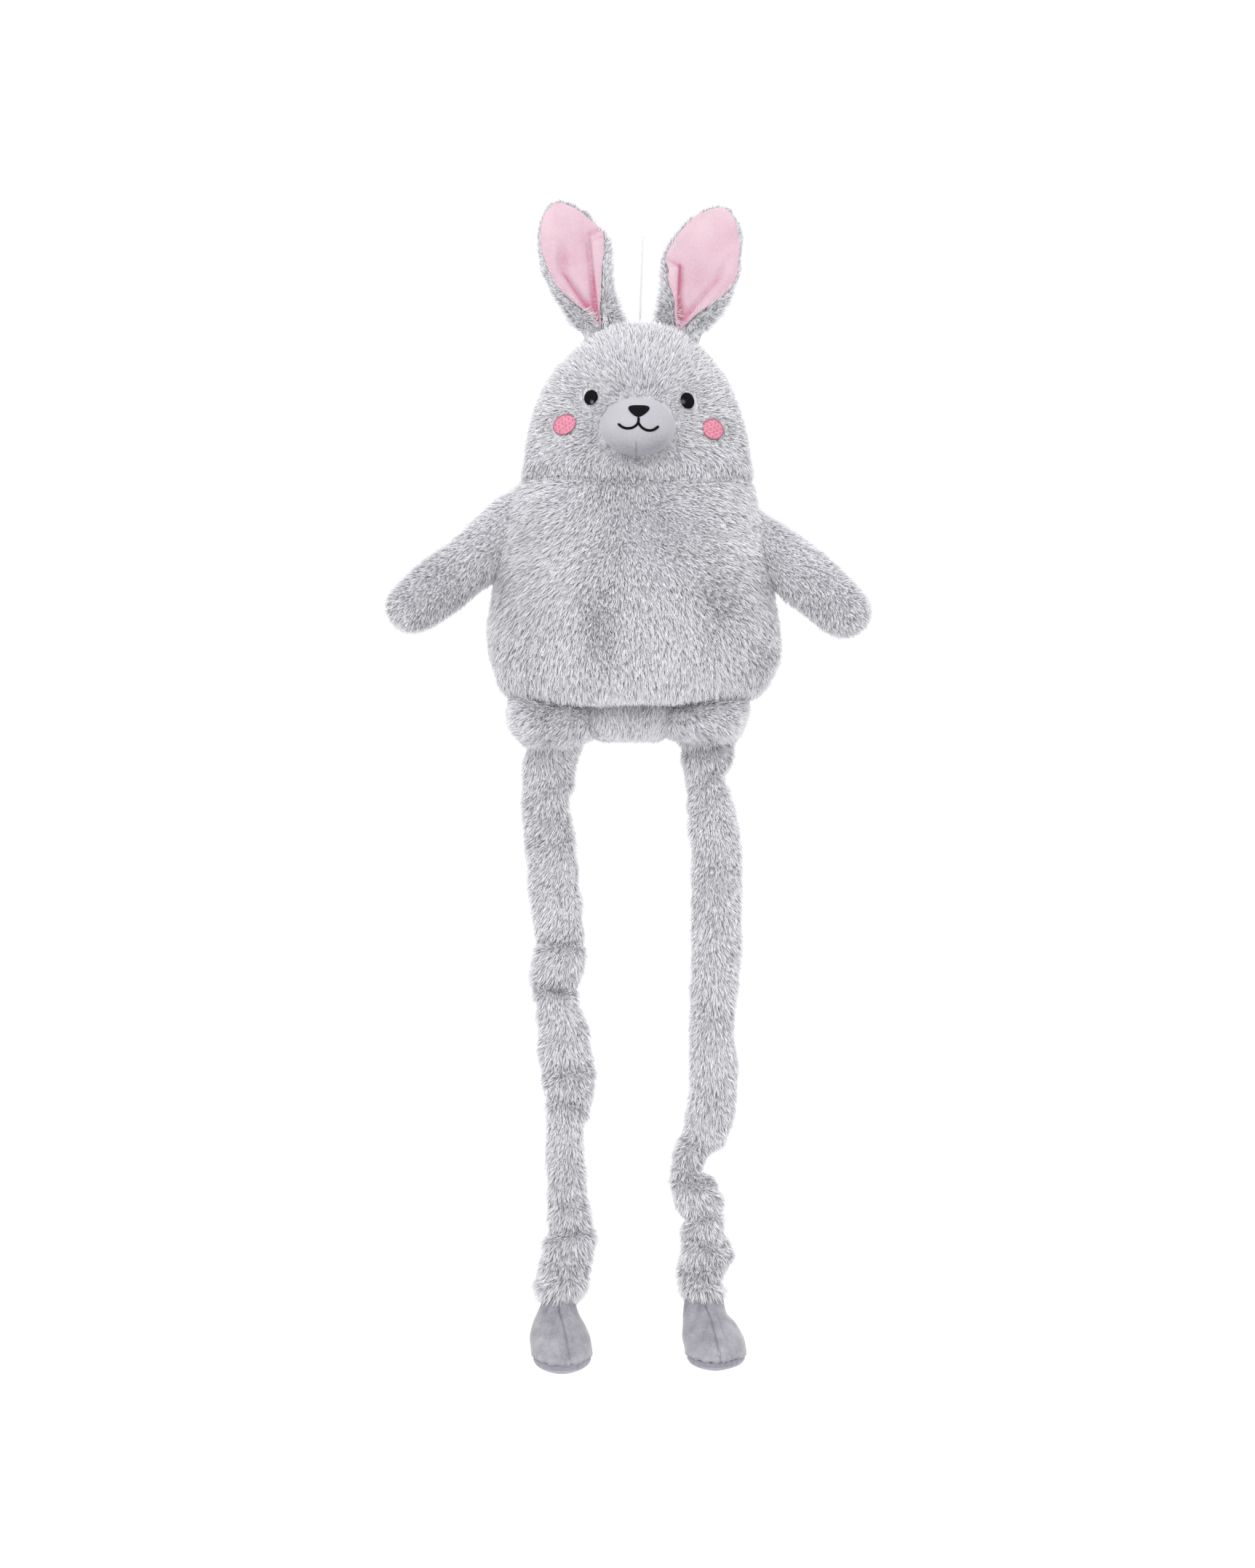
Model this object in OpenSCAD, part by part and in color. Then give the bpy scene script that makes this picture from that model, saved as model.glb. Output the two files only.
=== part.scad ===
// Long-legged stuffed bunny rabbit, hanging from its loop.
// Frame: origin at the top of the hang loop, +Z up, the face looks towards -Y, +X is the viewer's right.

/* [Head] */
// Half width of the head at the neck seam
head_half_w = 118; // [100:1:130]
// Half depth of the head at the neck seam
head_half_d = 78; // [68:1:84]
// Thickness of a long-pile panel, backing and pile together
pile_t = 8; // [6:0.5:9]
// Half width of the muzzle
muzzle_w = 40; // [34:1:42]
// Half height of the muzzle
muzzle_h = 31; // [26:1:33]
// How far the muzzle stands out from the face
muzzle_out = 26; // [18:1:32]

/* [Ears] */
// Length of an ear from its base to its tip
ear_len = 135; // [110:1:150]
// Half width of an ear at its widest
ear_half_w = 38; // [30:1:42]
// How far an ear leans outwards, in degrees
ear_lean = 19; // [12:1:24]

/* [Body] */
// Half width of the body at its widest
body_half_w = 148; // [140:1:152]
// Half depth of the body at its widest
body_half_d = 86; // [80:1:96]

/* [Arms] */
// Half width of an arm near its end
arm_r = 27; // [22:1:28]
// Half depth of an arm
arm_d = 24; // [18:1:26]

/* [Legs] */
// Half depth of a leg sleeve
leg_d = 15; // [10:0.5:15]
// Half width of a leg sleeve
leg_w = 27; // [20:1:28]

/* [Feet] */
// Half width of a foot
foot_w = 31; // [26:1:33]
// Half length of a foot, heel to toe
foot_l = 44; // [36:1:48]

/* [Hidden] */

fur = [0.77, 0.77, 0.79];
fur_dark = [0.70, 0.70, 0.73];
pink = [0.93, 0.80, 0.84];
velour = [0.78, 0.78, 0.81];
velvet = [0.61, 0.60, 0.64];
white = [0.93, 0.93, 0.93];

// Stations, top to bottom: [z, middle x, half width, half depth]
head_x = -6;
body_x = -10;
seam_z = -249;
pivot_z = -219;
head_st = [
  [-87, -4, 6, 5], [-89, -5, 20, 16], [-94, -6, 34, 27], [-102, -6, 48, 37], [-115, -6, 64, 48],
  [-130, -6, 78, 57], [-145, -6, 89, 64], [-160, -6, 97, 69], [-180, -6, 105, 73], [-205, -6, 111, 76], [-228, -6, 115, 77.5]];
body_st = [
  [-276, -10, 128, 81.5], [-292, -10, 131.5, 82.5], [-315, -10, 136, 84], [-345, -10, 141, 85.5], [-375, -10, 146, 86], [-400, -10, 148, 86],
  [-425, -10, 147, 85], [-445, -10, 142, 82], [-461, -11, 135, 77], [-471, -12, 125, 70], [-476, -12, 108, 60], [-478, -12, 60, 32], [-478.5, -12, 12, 8]];

function side(v) = v < 0 ? -1 : 1;
// Ring of n points, anticlockwise from above, as a superellipse of exponent e
function ring(x, y, z, a, b, n = 24, e = 2) = [for (i = [0:n - 1]) let (c = cos(360 * i / n), s = sin(360 * i / n))
  [x + a * side(c) * pow(abs(c), 2 / e), y + b * side(s) * pow(abs(s), 2 / e), z]];
function quad(a, b, c, d) = [[a, b, c], [a, c, d]];
// Slope of a station list at k, as a unit outward normal [across, up]
function normal(st, k) = let (p = st[max(0, k - 1)], q = st[min(len(st) - 1, k + 1)], da = q[2] - p[2], dz = q[0] - p[0], l = max(0.001, sqrt(da * da + dz * dz)))
  [-dz / l, da / l];
// The same stations, t inside
function inset(st, t) = [for (k = [0:len(st) - 1]) let (n = normal(st, k))
  [st[k][0] - t * n[1], st[k][1], max(2, st[k][2] - t * n[0]), max(1.5, st[k][3] - t * n[0])]];
function rings(st, n = 24, e = 2) = [for (s = st) ring(s[1], len(s) > 4 ? s[4] : 0, s[0], s[2], s[3], n, e)];
// Keeps a ring's points in front of or behind the side seam
function ahead(rs, g = -0.5) = [for (r = rs) [for (p = r) [p[0], min(p[1], g), p[2]]]];
function behind(rs, g = 0.5) = [for (r = rs) [for (p = r) [p[0], max(p[1], g), p[2]]]];

// Closed solid through rings given top to bottom, with a point at each end
module solid(rs, top, bottom) {
  n = len(rs[0]);
  m = len(rs);
  polyhedron(
    concat([top], [for (r = rs) each r], [bottom]),
    concat(
      [for (i = [0:n - 1]) [0, 1 + (i + 1) % n, 1 + i]],
      [for (k = [0:m - 2]) for (i = [0:n - 1]) each quad(1 + k * n + i, 1 + k * n + (i + 1) % n, 1 + (k + 1) * n + (i + 1) % n, 1 + (k + 1) * n + i)],
      [for (i = [0:n - 1]) [1 + m * n, 1 + (m - 1) * n + i, 1 + (m - 1) * n + (i + 1) % n]]), convexity = 4);
}
// Part of a shell between outer and inner rings, from point i0 to i1 round the ring
module panel(outer, inner, i0, i1) {
  n = len(outer[0]);
  m = len(outer);
  w = i1 - i0 + 1;
  h = m * w;
  polyhedron(
    concat([for (r = outer) for (i = [i0:i1]) r[i % n]], [for (r = inner) for (i = [i0:i1]) r[i % n]]),
    concat(
      [for (k = [0:m - 2]) for (i = [0:w - 2]) each quad(k * w + i, k * w + i + 1, (k + 1) * w + i + 1, (k + 1) * w + i)],
      [for (k = [0:m - 2]) for (i = [0:w - 2]) each quad(h + k * w + i + 1, h + k * w + i, h + (k + 1) * w + i, h + (k + 1) * w + i + 1)],
      [for (i = [0:w - 2]) each quad(i, h + i, h + i + 1, i + 1)],
      [for (i = [0:w - 2]) each quad((m - 1) * w + i, (m - 1) * w + i + 1, h + (m - 1) * w + i + 1, h + (m - 1) * w + i)],
      [for (k = [0:m - 2]) each quad(k * w, (k + 1) * w, h + (k + 1) * w, h + k * w)],
      [for (k = [0:m - 2]) each quad((k + 1) * w + w - 1, k * w + w - 1, h + k * w + w - 1, h + (k + 1) * w + w - 1)]), convexity = 6);
}

// The neck: a surface that turns about the pivot axis, and meets the skin in the plane of the seam
function neck_z(x, y, gap) = let (u = min(1, abs(x - head_x) / head_half_w), b = head_half_d * sqrt(1 - u * u),
  r = sqrt(pow(seam_z - pivot_z, 2) + b * b) + gap) pivot_z - sqrt(max(4, r * r - y * y));
function on_neck(x, a, b, gap, n = 24) = [for (p = ring(x, 0, 0, a, b, n)) [p[0], p[1], neck_z(p[0], p[1], gap)]];

// Height of the head's skin in front, as y at a point of the face
function face_y(x, z) = let (a = lookup(z, [for (s = head_st) [s[0], s[2]]]), b = lookup(z, [for (s = head_st) [s[0], s[3]]]), u = min(0.98, abs(x - head_x) / a)) -b * sqrt(1 - u * u);
muzzle_c = [-5, -195];
// Height of the muzzle's skin, as y
function muzzle_y(x, z) = let (u = pow((x - muzzle_c[0]) / muzzle_w, 2) + pow((z - muzzle_c[1]) / muzzle_h, 2))
  face_y(x, z) - 0.4 - muzzle_out * sqrt(max(0, 1 - u * 0.985));
function face_patch(c, a, b, turn, s, lift, n = 20) = [for (i = [0:n - 1]) let (t = 360 * i / n,
  x = c[0] + s * (a * cos(t) * cos(turn) - b * sin(t) * sin(turn)), z = c[1] + s * (a * cos(t) * sin(turn) + b * sin(t) * cos(turn))) [x, face_y(x, z) - lift, z]];
// Thin patch laid on the face: rings run from the middle in front, over the edge, to the middle behind
module stitched(c, a, b, turn, t) {
  solid([for (s = [0.35, 0.7, 1]) face_patch(c, a, b, turn, s, 0.4 + t), for (s = [1, 0.7, 0.35]) face_patch(c, a, b, turn, s, 0.4)],
    [c[0], face_y(c[0], c[1]) - 0.4 - t, c[1]], [c[0], face_y(c[0], c[1]) - 0.4, c[1]]);
}

head_outer = concat(rings(head_st), [on_neck(head_x, head_half_w, head_half_d, 0)]);
head_in_st = inset(head_st, pile_t);
head_inner = concat(rings(head_in_st), [on_neck(head_x, head_half_w - pile_t, head_half_d - pile_t, 0)]);
module head_front_panel() { color(fur) panel(ahead(head_outer), ahead(head_inner), 12, 24); }
module head_back_panel() { color(fur) panel(behind(head_outer), behind(head_inner), 0, 12); }
module head_stuffing() {
  st = inset(head_st, pile_t + 0.6);
  a = head_half_w - pile_t - 0.8;
  b = head_half_d - pile_t - 0.8;
  color(white) solid(concat(rings(st), [for (s = [1, 0.85, 0.65, 0.45, 0.25]) on_neck(head_x, a * s, b * s, -2)]),
    [head_st[0][1], 0, st[0][0] - 0.2], [head_x, 0, neck_z(head_x, 0, -2)]);
}
function muzzle_ring(s, t, n = 24) = [for (i = [0:n - 1]) let (x = muzzle_c[0] + (muzzle_w - t) * s * cos(360 * i / n), z = muzzle_c[1] + (muzzle_h - t) * s * sin(360 * i / n)) [x, z]];
function muzzle_skin(s, t) = [for (p = muzzle_ring(s, t)) [p[0], min(face_y(p[0], p[1]) - 0.6, muzzle_y(muzzle_c[0] + (p[0] - muzzle_c[0]) * muzzle_w / (muzzle_w - t), muzzle_c[1] + (p[1] - muzzle_c[1]) * muzzle_h / (muzzle_h - t)) + t), p[1]]];
function muzzle_base(s, t) = [for (p = muzzle_ring(s, t)) [p[0], face_y(p[0], p[1]) - 0.5, p[1]]];
muzzle_steps = [0.3, 0.55, 0.75, 0.9, 0.98];
// A cup: over the skin to the rim, and back under it
module muzzle() {
  color(velour) solid(concat([for (s = muzzle_steps) muzzle_skin(s, 0)], [muzzle_base(1, 0), muzzle_base(1, 1.6)], [for (k = [len(muzzle_steps) - 2:-1:0]) muzzle_skin(muzzle_steps[k], 1.6)]),
    [muzzle_c[0], muzzle_y(muzzle_c[0], muzzle_c[1]), muzzle_c[1]], [muzzle_c[0], muzzle_y(muzzle_c[0], muzzle_c[1]) + 1.6, muzzle_c[1]]);
}
module muzzle_core(t) {
  solid(concat([for (s = muzzle_steps) muzzle_skin(s, t)], [for (s = [0.98, 0.75, 0.4]) muzzle_base(s, t)]),
    [muzzle_c[0], muzzle_y(muzzle_c[0], muzzle_c[1]) + t, muzzle_c[1]], [muzzle_c[0], face_y(muzzle_c[0], muzzle_c[1]) - 0.5, muzzle_c[1]]);
}
module muzzle_stuffing() { color(white) muzzle_core(2.2); }

// Nose outline round its middle, as [x, z]
nose_c = [-4.6, -180];
nose_pts = [[-9.5, 3], [-8, 5], [-3, 5.8], [3, 5.8], [8, 5], [9.5, 3], [8.5, 0], [5, -3], [2, -5], [0, -5.6], [-2, -5], [-5, -3], [-8.5, 0]];
function nose_ring(s, lift) = [for (i = [len(nose_pts) - 1:-1:0]) let (x = nose_c[0] + nose_pts[i][0] * s, z = nose_c[1] + nose_pts[i][1] * s) [x, muzzle_y(x, z) - lift, z]];
module nose() {
  color([0.08, 0.08, 0.09]) solid([for (s = [0.4, 0.75, 1]) nose_ring(s, 1.6), for (s = [1, 0.75, 0.4]) nose_ring(s, 0.3)],
    [nose_c[0], muzzle_y(nose_c[0], nose_c[1]) - 1.6, nose_c[1]], [nose_c[0], muzzle_y(nose_c[0], nose_c[1]) - 0.3, nose_c[1]]);
}
// Mouth: two stitched curves that start under the nose, as [x, z]
mouth_left = [[-4.9, -186.6], [-5, -189], [-6, -192.5], [-10, -195.5], [-15, -196.2], [-20, -194.5], [-24.5, -191]];
mouth_right = [[-3.6, -191.5], [-1, -195.5], [3, -198], [7, -198.5], [11.5, -197], [15, -194]];
module strand(pts, r) {
  m = len(pts);
  function dir(k) = let (d = pts[min(m - 1, k + 1)] - pts[max(0, k - 1)]) d / norm(d);
  solid([for (k = [0:m - 1]) let (d = dir(k), y = muzzle_y(pts[k][0], pts[k][1]) - r - 0.3) [for (i = [0:5]) let (c = cos(60 * i) * r, s = sin(60 * i) * r) [pts[k][0] - d[1] * c, y - s, pts[k][1] + d[0] * c]]],
    [pts[0][0] - dir(0)[0] * 0.4, muzzle_y(pts[0][0], pts[0][1]) - r - 0.3, pts[0][1] - dir(0)[1] * 0.4],
    [pts[m - 1][0] + dir(m - 1)[0] * 0.4, muzzle_y(pts[m - 1][0], pts[m - 1][1]) - r - 0.3, pts[m - 1][1] + dir(m - 1)[1] * 0.4]);
}
module mouth() { color([0.1, 0.1, 0.11]) { strand(mouth_left, 0.9); strand(mouth_right, 0.9); } }
module eye_left() { color([0.08, 0.08, 0.1]) stitched([-52, -166], 6.6, 7.8, -18, 1.4); }
module eye_right() { color([0.08, 0.08, 0.1]) stitched([46, -169], 6.6, 8.2, 15, 1.4); }
module cheek_left() { color([0.93, 0.60, 0.69]) stitched([-79, -193], 12, 9.6, 24, 1.4); }
module cheek_right() { color([0.93, 0.60, 0.69]) stitched([72, -198], 10.8, 10, -20, 1.4); }

// Clear loop: one thread up from the crown, round at the top and back down
loop_r = 0.35;
loop_path = concat([[-3.7, -93], [-3.6, -87], [-3.1, -70], [-2.4, -45], [-1.7, -20], [-1.35, -8], [-1.4, -2.4]],
  [for (t = [150:-30:30]) [1.4 * cos(t), -1.4 + 1.05 * sin(t)]],
  [[1.4, -2.4], [0.4, -8], [-0.3, -20], [-1.2, -45], [-2.0, -70], [-2.4, -87], [-2.4, -93]]);
module hang_loop() {
  m = len(loop_path);
  function dir(k) = let (d = loop_path[min(m - 1, k + 1)] - loop_path[max(0, k - 1)]) d / norm(d);
  color([0.95, 0.95, 0.96]) solid([for (k = [0:m - 1]) let (d = dir(k)) [for (i = [0:7]) let (c = cos(45 * i) * loop_r, s = sin(45 * i) * loop_r) [loop_path[k][0] - d[1] * c, -s, loop_path[k][1] + d[0] * c]]],
    [loop_path[0][0], 0, loop_path[0][1]], [loop_path[m - 1][0], 0, loop_path[m - 1][1]]);
}

// Ears, built upright about their hinge and then leaned: [height, half width as a share, half thickness]
ear_st = [[1, 0.02, 1.5], [0.985, 0.26, 3], [0.95, 0.5, 4.5], [0.88, 0.77, 5.5], [0.78, 0.94, 6], [0.64, 1, 6.5], [0.48, 0.97, 7], [0.32, 0.88, 7.5], [0.16, 0.76, 8], [0.03, 0.64, 8.5], [-0.03, 0.58, 7.5], [-0.06, 0.5, 4]];
function cup(r, a) = [for (p = r) [p[0], p[1] - 9 * pow(p[0] / a, 2), p[2]]];
module ear(len, w) {
  rs = [for (s = ear_st) cup(ring(0, 0, s[0] * len, max(3, s[1] * w), s[2], 16, 2.4), w)];
  solid(rs, [0, 0, len + 1], [0, 0, -0.065 * len]);
}
module lining(len, w) {
  st = [[0.95, 0.1], [0.93, 0.33], [0.87, 0.58], [0.78, 0.75], [0.64, 0.81], [0.48, 0.76], [0.32, 0.62], [0.18, 0.4], [0.08, 0.16]];
  rs = [for (s = st) cup(ring(0, -10.6 + 1.2 * s[0], s[0] * len, max(2.5, s[1] * w), 1.6, 16, 2.4), w)];
  solid(rs, [0, -10, 0.952 * len], [0, -10.6, 0.07 * len]);
}
module ear_at_left() { translate([-43, 0, -84.5]) rotate([0, -ear_lean, 0]) children(); }
module ear_at_right() { translate([40, 0, -84]) rotate([0, ear_lean, 0]) children(); }
module ear_left_fur() { color(fur) ear_at_left() ear(ear_len - 8, ear_half_w); }
module ear_left_lining() { color(pink) ear_at_left() lining(ear_len - 8, ear_half_w); }
module ear_right_fur() { color(fur) ear_at_right() ear(ear_len - 16, ear_half_w + 3); }
module ear_right_lining() { color(pink) ear_at_right() lining(ear_len - 16, ear_half_w + 3); }

// Body
function wide(st) = [for (s = st) [s[0], s[1], s[2] * body_half_w / 148, s[3] * body_half_d / 86]];
body_outer = concat([on_neck(head_x - 0.5, head_half_w + 1, head_half_d, 2)], rings(wide(body_st)));
body_inner = concat([on_neck(head_x - 0.5, head_half_w + 1 - pile_t, head_half_d - pile_t, 2)], rings(inset(wide(body_st), pile_t)));
module body_front_panel() { color(fur) panel(ahead(body_outer), ahead(body_inner), 12, 24); }
module body_back_panel() { color(fur) panel(behind(body_outer), behind(body_inner), 0, 12); }
module body_stuffing() {
  // a little inside the panels
  st = [for (s = inset(wide(body_st), pile_t)) [s[0] + (s[0] < -440 ? 1.6 : 0), s[1], max(1.5, s[2] - 1.4), max(1, s[3] - 1.4)]];
  a = head_half_w - pile_t;
  b = head_half_d - pile_t - 0.8;
  last = st[len(st) - 1];
  color(white) solid(concat([for (s = [0.25, 0.45, 0.65, 0.85, 1]) on_neck(head_x - 0.5, a * s, b * s, 3)], rings(st)),
    [head_x - 0.5, 0, neck_z(head_x - 0.5, 0, 3)], [last[1], 0, last[0] + 0.2]);
}
// Rounded pad: [z, middle x, half width, half depth]
module pad(st, e = 2.6, n = 20) {
  solid(rings(st, n, e), [st[0][1], 0, st[0][0]], [st[len(st) - 1][1], 0, st[len(st) - 1][0]]);
}
module seat_panel() { color([0.80, 0.80, 0.81]) pad([[-479.2, -13.5, 14, 40], [-481, -13.5, 26, 56], [-490, -13.5, 29.5, 60], [-502, -13.5, 29, 58], [-510, -13.5, 25, 48], [-514, -13.5, 14, 30]]); }
module hip_left() { color(fur_dark) pad([[-479.2, -92, 28, 34], [-481, -92, 42, 46], [-490, -92, 46.5, 52], [-502, -92, 46, 50], [-513, -91, 42, 42], [-521, -89, 32, 26]]); }
module hip_right() { color(fur_dark) pad([[-479.2, 62, 28, 34], [-481, 62, 40, 46], [-490, 62, 44, 52], [-502, 62, 43, 50], [-513, 63, 40, 42], [-520, 65, 32, 26]]); }

// Arms, built pointing down about the shoulder hinge and then raised
function arm_st(len) = let (end = len + arm_r) [
  [24.5, 0, 4, 10], [22, 0, 10.5, 16], [16, 0, 18, 20], [8, 0, 23, 22], [0, 0, 24.5, 23], [-18, 0, arm_r + 2, arm_d], [-0.55 * len, 0, arm_r + 2.5, arm_d + 0.5], [-0.8 * len, 0, arm_r + 1.5, arm_d],
  [-len, 0, arm_r, arm_d], [-len - 0.5 * arm_r, 0, 0.87 * arm_r, 0.87 * arm_d], [-len - 0.83 * arm_r, 0, 0.55 * arm_r, 0.55 * arm_d], [-end + 0.5, 0, 0.2 * arm_r, 0.2 * arm_d]];
module arm_front(len) { panel(ahead(rings(arm_st(len), 16)), ahead(rings(inset(arm_st(len), pile_t), 16)), 8, 16); }
module arm_back(len) { panel(behind(rings(arm_st(len), 16)), behind(rings(inset(arm_st(len), pile_t), 16)), 0, 8); }
module arm_fill(len) {
  st = inset(arm_st(len), pile_t + 0.6);
  solid(rings(st, 16), [0, 0, st[0][0] - 0.2], [0, 0, st[len(st) - 1][0] + 0.2]);
}
module arm_at_left() { translate([-176, 0, -333]) rotate([0, 52, 0]) children(); }
module arm_at_right() { translate([157, 0, -340]) rotate([0, -48, 0]) children(); }
module arm_left_front() { color(fur) arm_at_left() arm_front(74); }
module arm_left_back() { color(fur) arm_at_left() arm_back(74); }
module arm_left_stuffing() { color(white) arm_at_left() arm_fill(74); }
module arm_right_front() { color(fur) arm_at_right() arm_front(62); }
module arm_right_back() { color(fur) arm_at_right() arm_back(62); }
module arm_right_stuffing() { color(white) arm_at_right() arm_fill(62); }

// Leg sleeves: [z, middle x, half width as a share of leg_w, half depth as a share of leg_d]
leg_left_up = [[-523, -90, 0.55, 0.2], [-525, -92, 0.9, 0.5], [-530, -94, 1.02, 0.85], [-538, -96, 1.02, 1], [-556, -98, 0.97, 0.95], [-580, -99, 0.95, 0.9], [-615, -96, 1.02, 0.9], [-655, -92, 1.03, 0.95],
  [-695, -88, 0.98, 0.95], [-722, -85, 0.94, 0.9], [-748, -88, 0.98, 0.98], [-764, -91, 0.88, 0.85], [-778, -88, 0.86, 0.8], [-783.5, -87, 0.7, 0.6]];
leg_left_low = [[-785, -87, 0.6, 0.2], [-787, -86, 0.8, 0.5], [-792, -85, 0.9, 0.85], [-800, -83, 0.95, 1], [-815, -81, 0.98, 1], [-842, -77, 1.04, 1], [-858, -75, 1.04, 1], [-882, -76, 0.9, 0.9], [-909, -80, 0.73, 0.85], [-935, -80, 0.78, 0.8],
  [-962, -79, 0.75, 0.85], [-988, -77, 0.84, 0.95], [-1015, -73, 0.92, 1], [-1042, -78, 1, 1], [-1062, -82, 0.96, 1], [-1069, -82, 0.8, 0.8]];
leg_right_up = [[-523, 66, 0.55, 0.2], [-525, 65, 0.85, 0.5], [-530, 65, 0.98, 0.85], [-538, 65, 0.95, 1], [-549, 63, 0.78, 0.95], [-574, 69, 0.9, 0.9], [-615, 73, 1, 0.9], [-655, 74, 0.98, 0.9],
  [-695, 74, 1.01, 0.9], [-735, 75, 1.02, 0.9], [-762, 74, 0.98, 0.9], [-778, 72, 0.92, 0.8], [-783.5, 71, 0.7, 0.6]];
leg_right_low = [[-785, 71, 0.6, 0.2], [-787, 71, 0.8, 0.5], [-792, 71, 0.88, 0.85], [-800, 71, 0.9, 1], [-828, 72, 0.92, 0.9], [-855, 72, 0.97, 0.9], [-882, 70, 0.97, 0.95], [-909, 64, 0.9, 1], [-922, 59, 0.9, 1], [-935, 49, 0.7, 1], [-949, 44, 0.58, 1],
  [-962, 50, 0.8, 1], [-976, 55, 0.95, 1], [-989, 58, 0.9, 0.95], [-1003, 61, 0.76, 0.9], [-1016, 62, 0.88, 1], [-1030, 66, 0.98, 1], [-1042, 64, 1.08, 1], [-1056, 60, 0.9, 1], [-1065, 62, 0.84, 1], [-1069, 64, 0.7, 0.8]];
module sleeve(st) { pad([for (s = st) [s[0], s[1], s[2] * leg_w, s[3] * leg_d]], 2.2, 18); }
module leg_left_upper() { color(fur) sleeve(leg_left_up); }
module leg_left_lower() { color(fur) sleeve(leg_left_low); }
module leg_right_upper() { color(fur) sleeve(leg_right_up); }
module leg_right_lower() { color(fur) sleeve(leg_right_low); }

// Feet, about the ankle hinge: [z, middle x, half width as a share, half length as a share, middle y]
foot_st = [[16.5, 0, 0.25, 0.06, 0], [14, 0, 0.5, 0.2, 0], [9, 0, 0.62, 0.32, 0], [0, 0, 0.66, 0.38, 0], [-8, 0, 0.7, 0.42, -2], [-20, 0, 0.86, 0.6, -9], [-33, 0, 0.98, 0.86, -18], [-44, 0, 1.02, 1, -23], [-53, 0, 1, 1.02, -24]];
foot_in = [for (k = [0:len(foot_st) - 1]) [foot_st[k][0] - (k < 3 ? 3 : 0), 0, foot_st[k][2] * foot_w - 2.2, foot_st[k][3] * foot_l - 2, foot_st[k][4]]];
function foot_out() = [for (s = foot_st) [s[0], 0, s[2] * foot_w, s[3] * foot_l, s[4]]];
function clip_x(rs, d) = [for (r = rs) [for (p = r) [d > 0 ? max(p[0], 0.15) : min(p[0], -0.15), p[1], p[2]]]];
module foot_half(d) {
  o = clip_x(rings(foot_out(), 20), d);
  i = clip_x(rings(foot_in, 20), d);
  if (d > 0) panel(o, i, 15, 25);
  else panel(o, i, 5, 15);
}
module foot_sole() {
  solid(rings([[-53.5, 0, foot_w, 1.02 * foot_l, -24], [-58, 0, 0.98 * foot_w, foot_l, -24], [-63, 0, 0.86 * foot_w, 0.92 * foot_l, -24], [-67, 0, 0.6 * foot_w, 0.74 * foot_l, -24], [-68.5, 0, 0.25 * foot_w, 0.4 * foot_l, -24]], 20), [0, -24, -53.5], [0, -24, -68.6]);
}
module foot_fill() {
  st = [for (k = [0:len(foot_st) - 1]) [foot_st[k][0] - (k < 3 ? 4 : 0.2), 0, max(1.2, foot_st[k][2] * foot_w - 3), max(0.6, foot_st[k][3] * foot_l - 3), foot_st[k][4]]];
  solid(rings(st, 20), [0, 0, st[0][0] - 0.01], [0, -24, st[len(st) - 1][0] - 0.01]);
}
module foot_at_left() { translate([-83, 0, -1088]) children(); }
module foot_at_right() { translate([72, 0, -1087]) children(); }
module foot_left_outer() { color(velvet) foot_at_left() foot_half(-1); }
module foot_left_inner() { color(velvet) foot_at_left() foot_half(1); }
module foot_left_sole() { color([0.57, 0.56, 0.60]) foot_at_left() foot_sole(); }
module foot_left_stuffing() { color(white) foot_at_left() foot_fill(); }
module foot_right_outer() { color(velvet) foot_at_right() foot_half(1); }
module foot_right_inner() { color(velvet) foot_at_right() foot_half(-1); }
module foot_right_sole() { color([0.57, 0.56, 0.60]) foot_at_right() foot_sole(); }
module foot_right_stuffing() { color(white) foot_at_right() foot_fill(); }

head_front_panel();
head_back_panel();
head_stuffing();
muzzle();
muzzle_stuffing();
nose();
mouth();
eye_left();
eye_right();
cheek_left();
cheek_right();
hang_loop();
ear_left_fur();
ear_left_lining();
ear_right_fur();
ear_right_lining();
body_front_panel();
body_back_panel();
body_stuffing();
seat_panel();
hip_left();
hip_right();
arm_left_front();
arm_left_back();
arm_left_stuffing();
arm_right_front();
arm_right_back();
arm_right_stuffing();
leg_left_upper();
leg_left_lower();
leg_right_upper();
leg_right_lower();
foot_left_outer();
foot_left_inner();
foot_left_sole();
foot_left_stuffing();
foot_right_outer();
foot_right_inner();
foot_right_sole();
foot_right_stuffing();
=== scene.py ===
import bpy, math
import numpy as np
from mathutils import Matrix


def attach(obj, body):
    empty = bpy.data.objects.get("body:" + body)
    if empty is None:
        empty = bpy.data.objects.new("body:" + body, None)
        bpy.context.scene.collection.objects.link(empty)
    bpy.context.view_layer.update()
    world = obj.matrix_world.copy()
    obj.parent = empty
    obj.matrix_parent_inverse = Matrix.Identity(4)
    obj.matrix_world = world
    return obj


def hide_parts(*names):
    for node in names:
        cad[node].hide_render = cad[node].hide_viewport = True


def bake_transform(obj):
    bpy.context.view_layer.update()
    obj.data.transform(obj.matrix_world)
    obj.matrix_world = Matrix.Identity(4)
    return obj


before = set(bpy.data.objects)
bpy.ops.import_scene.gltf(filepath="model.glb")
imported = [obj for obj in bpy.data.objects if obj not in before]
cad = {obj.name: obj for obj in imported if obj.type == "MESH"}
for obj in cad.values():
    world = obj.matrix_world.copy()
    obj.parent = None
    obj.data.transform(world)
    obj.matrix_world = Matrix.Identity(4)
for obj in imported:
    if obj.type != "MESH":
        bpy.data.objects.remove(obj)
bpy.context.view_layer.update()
sc = bpy.context.scene
MM = 0.001
TAU = 2 * math.pi


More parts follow.
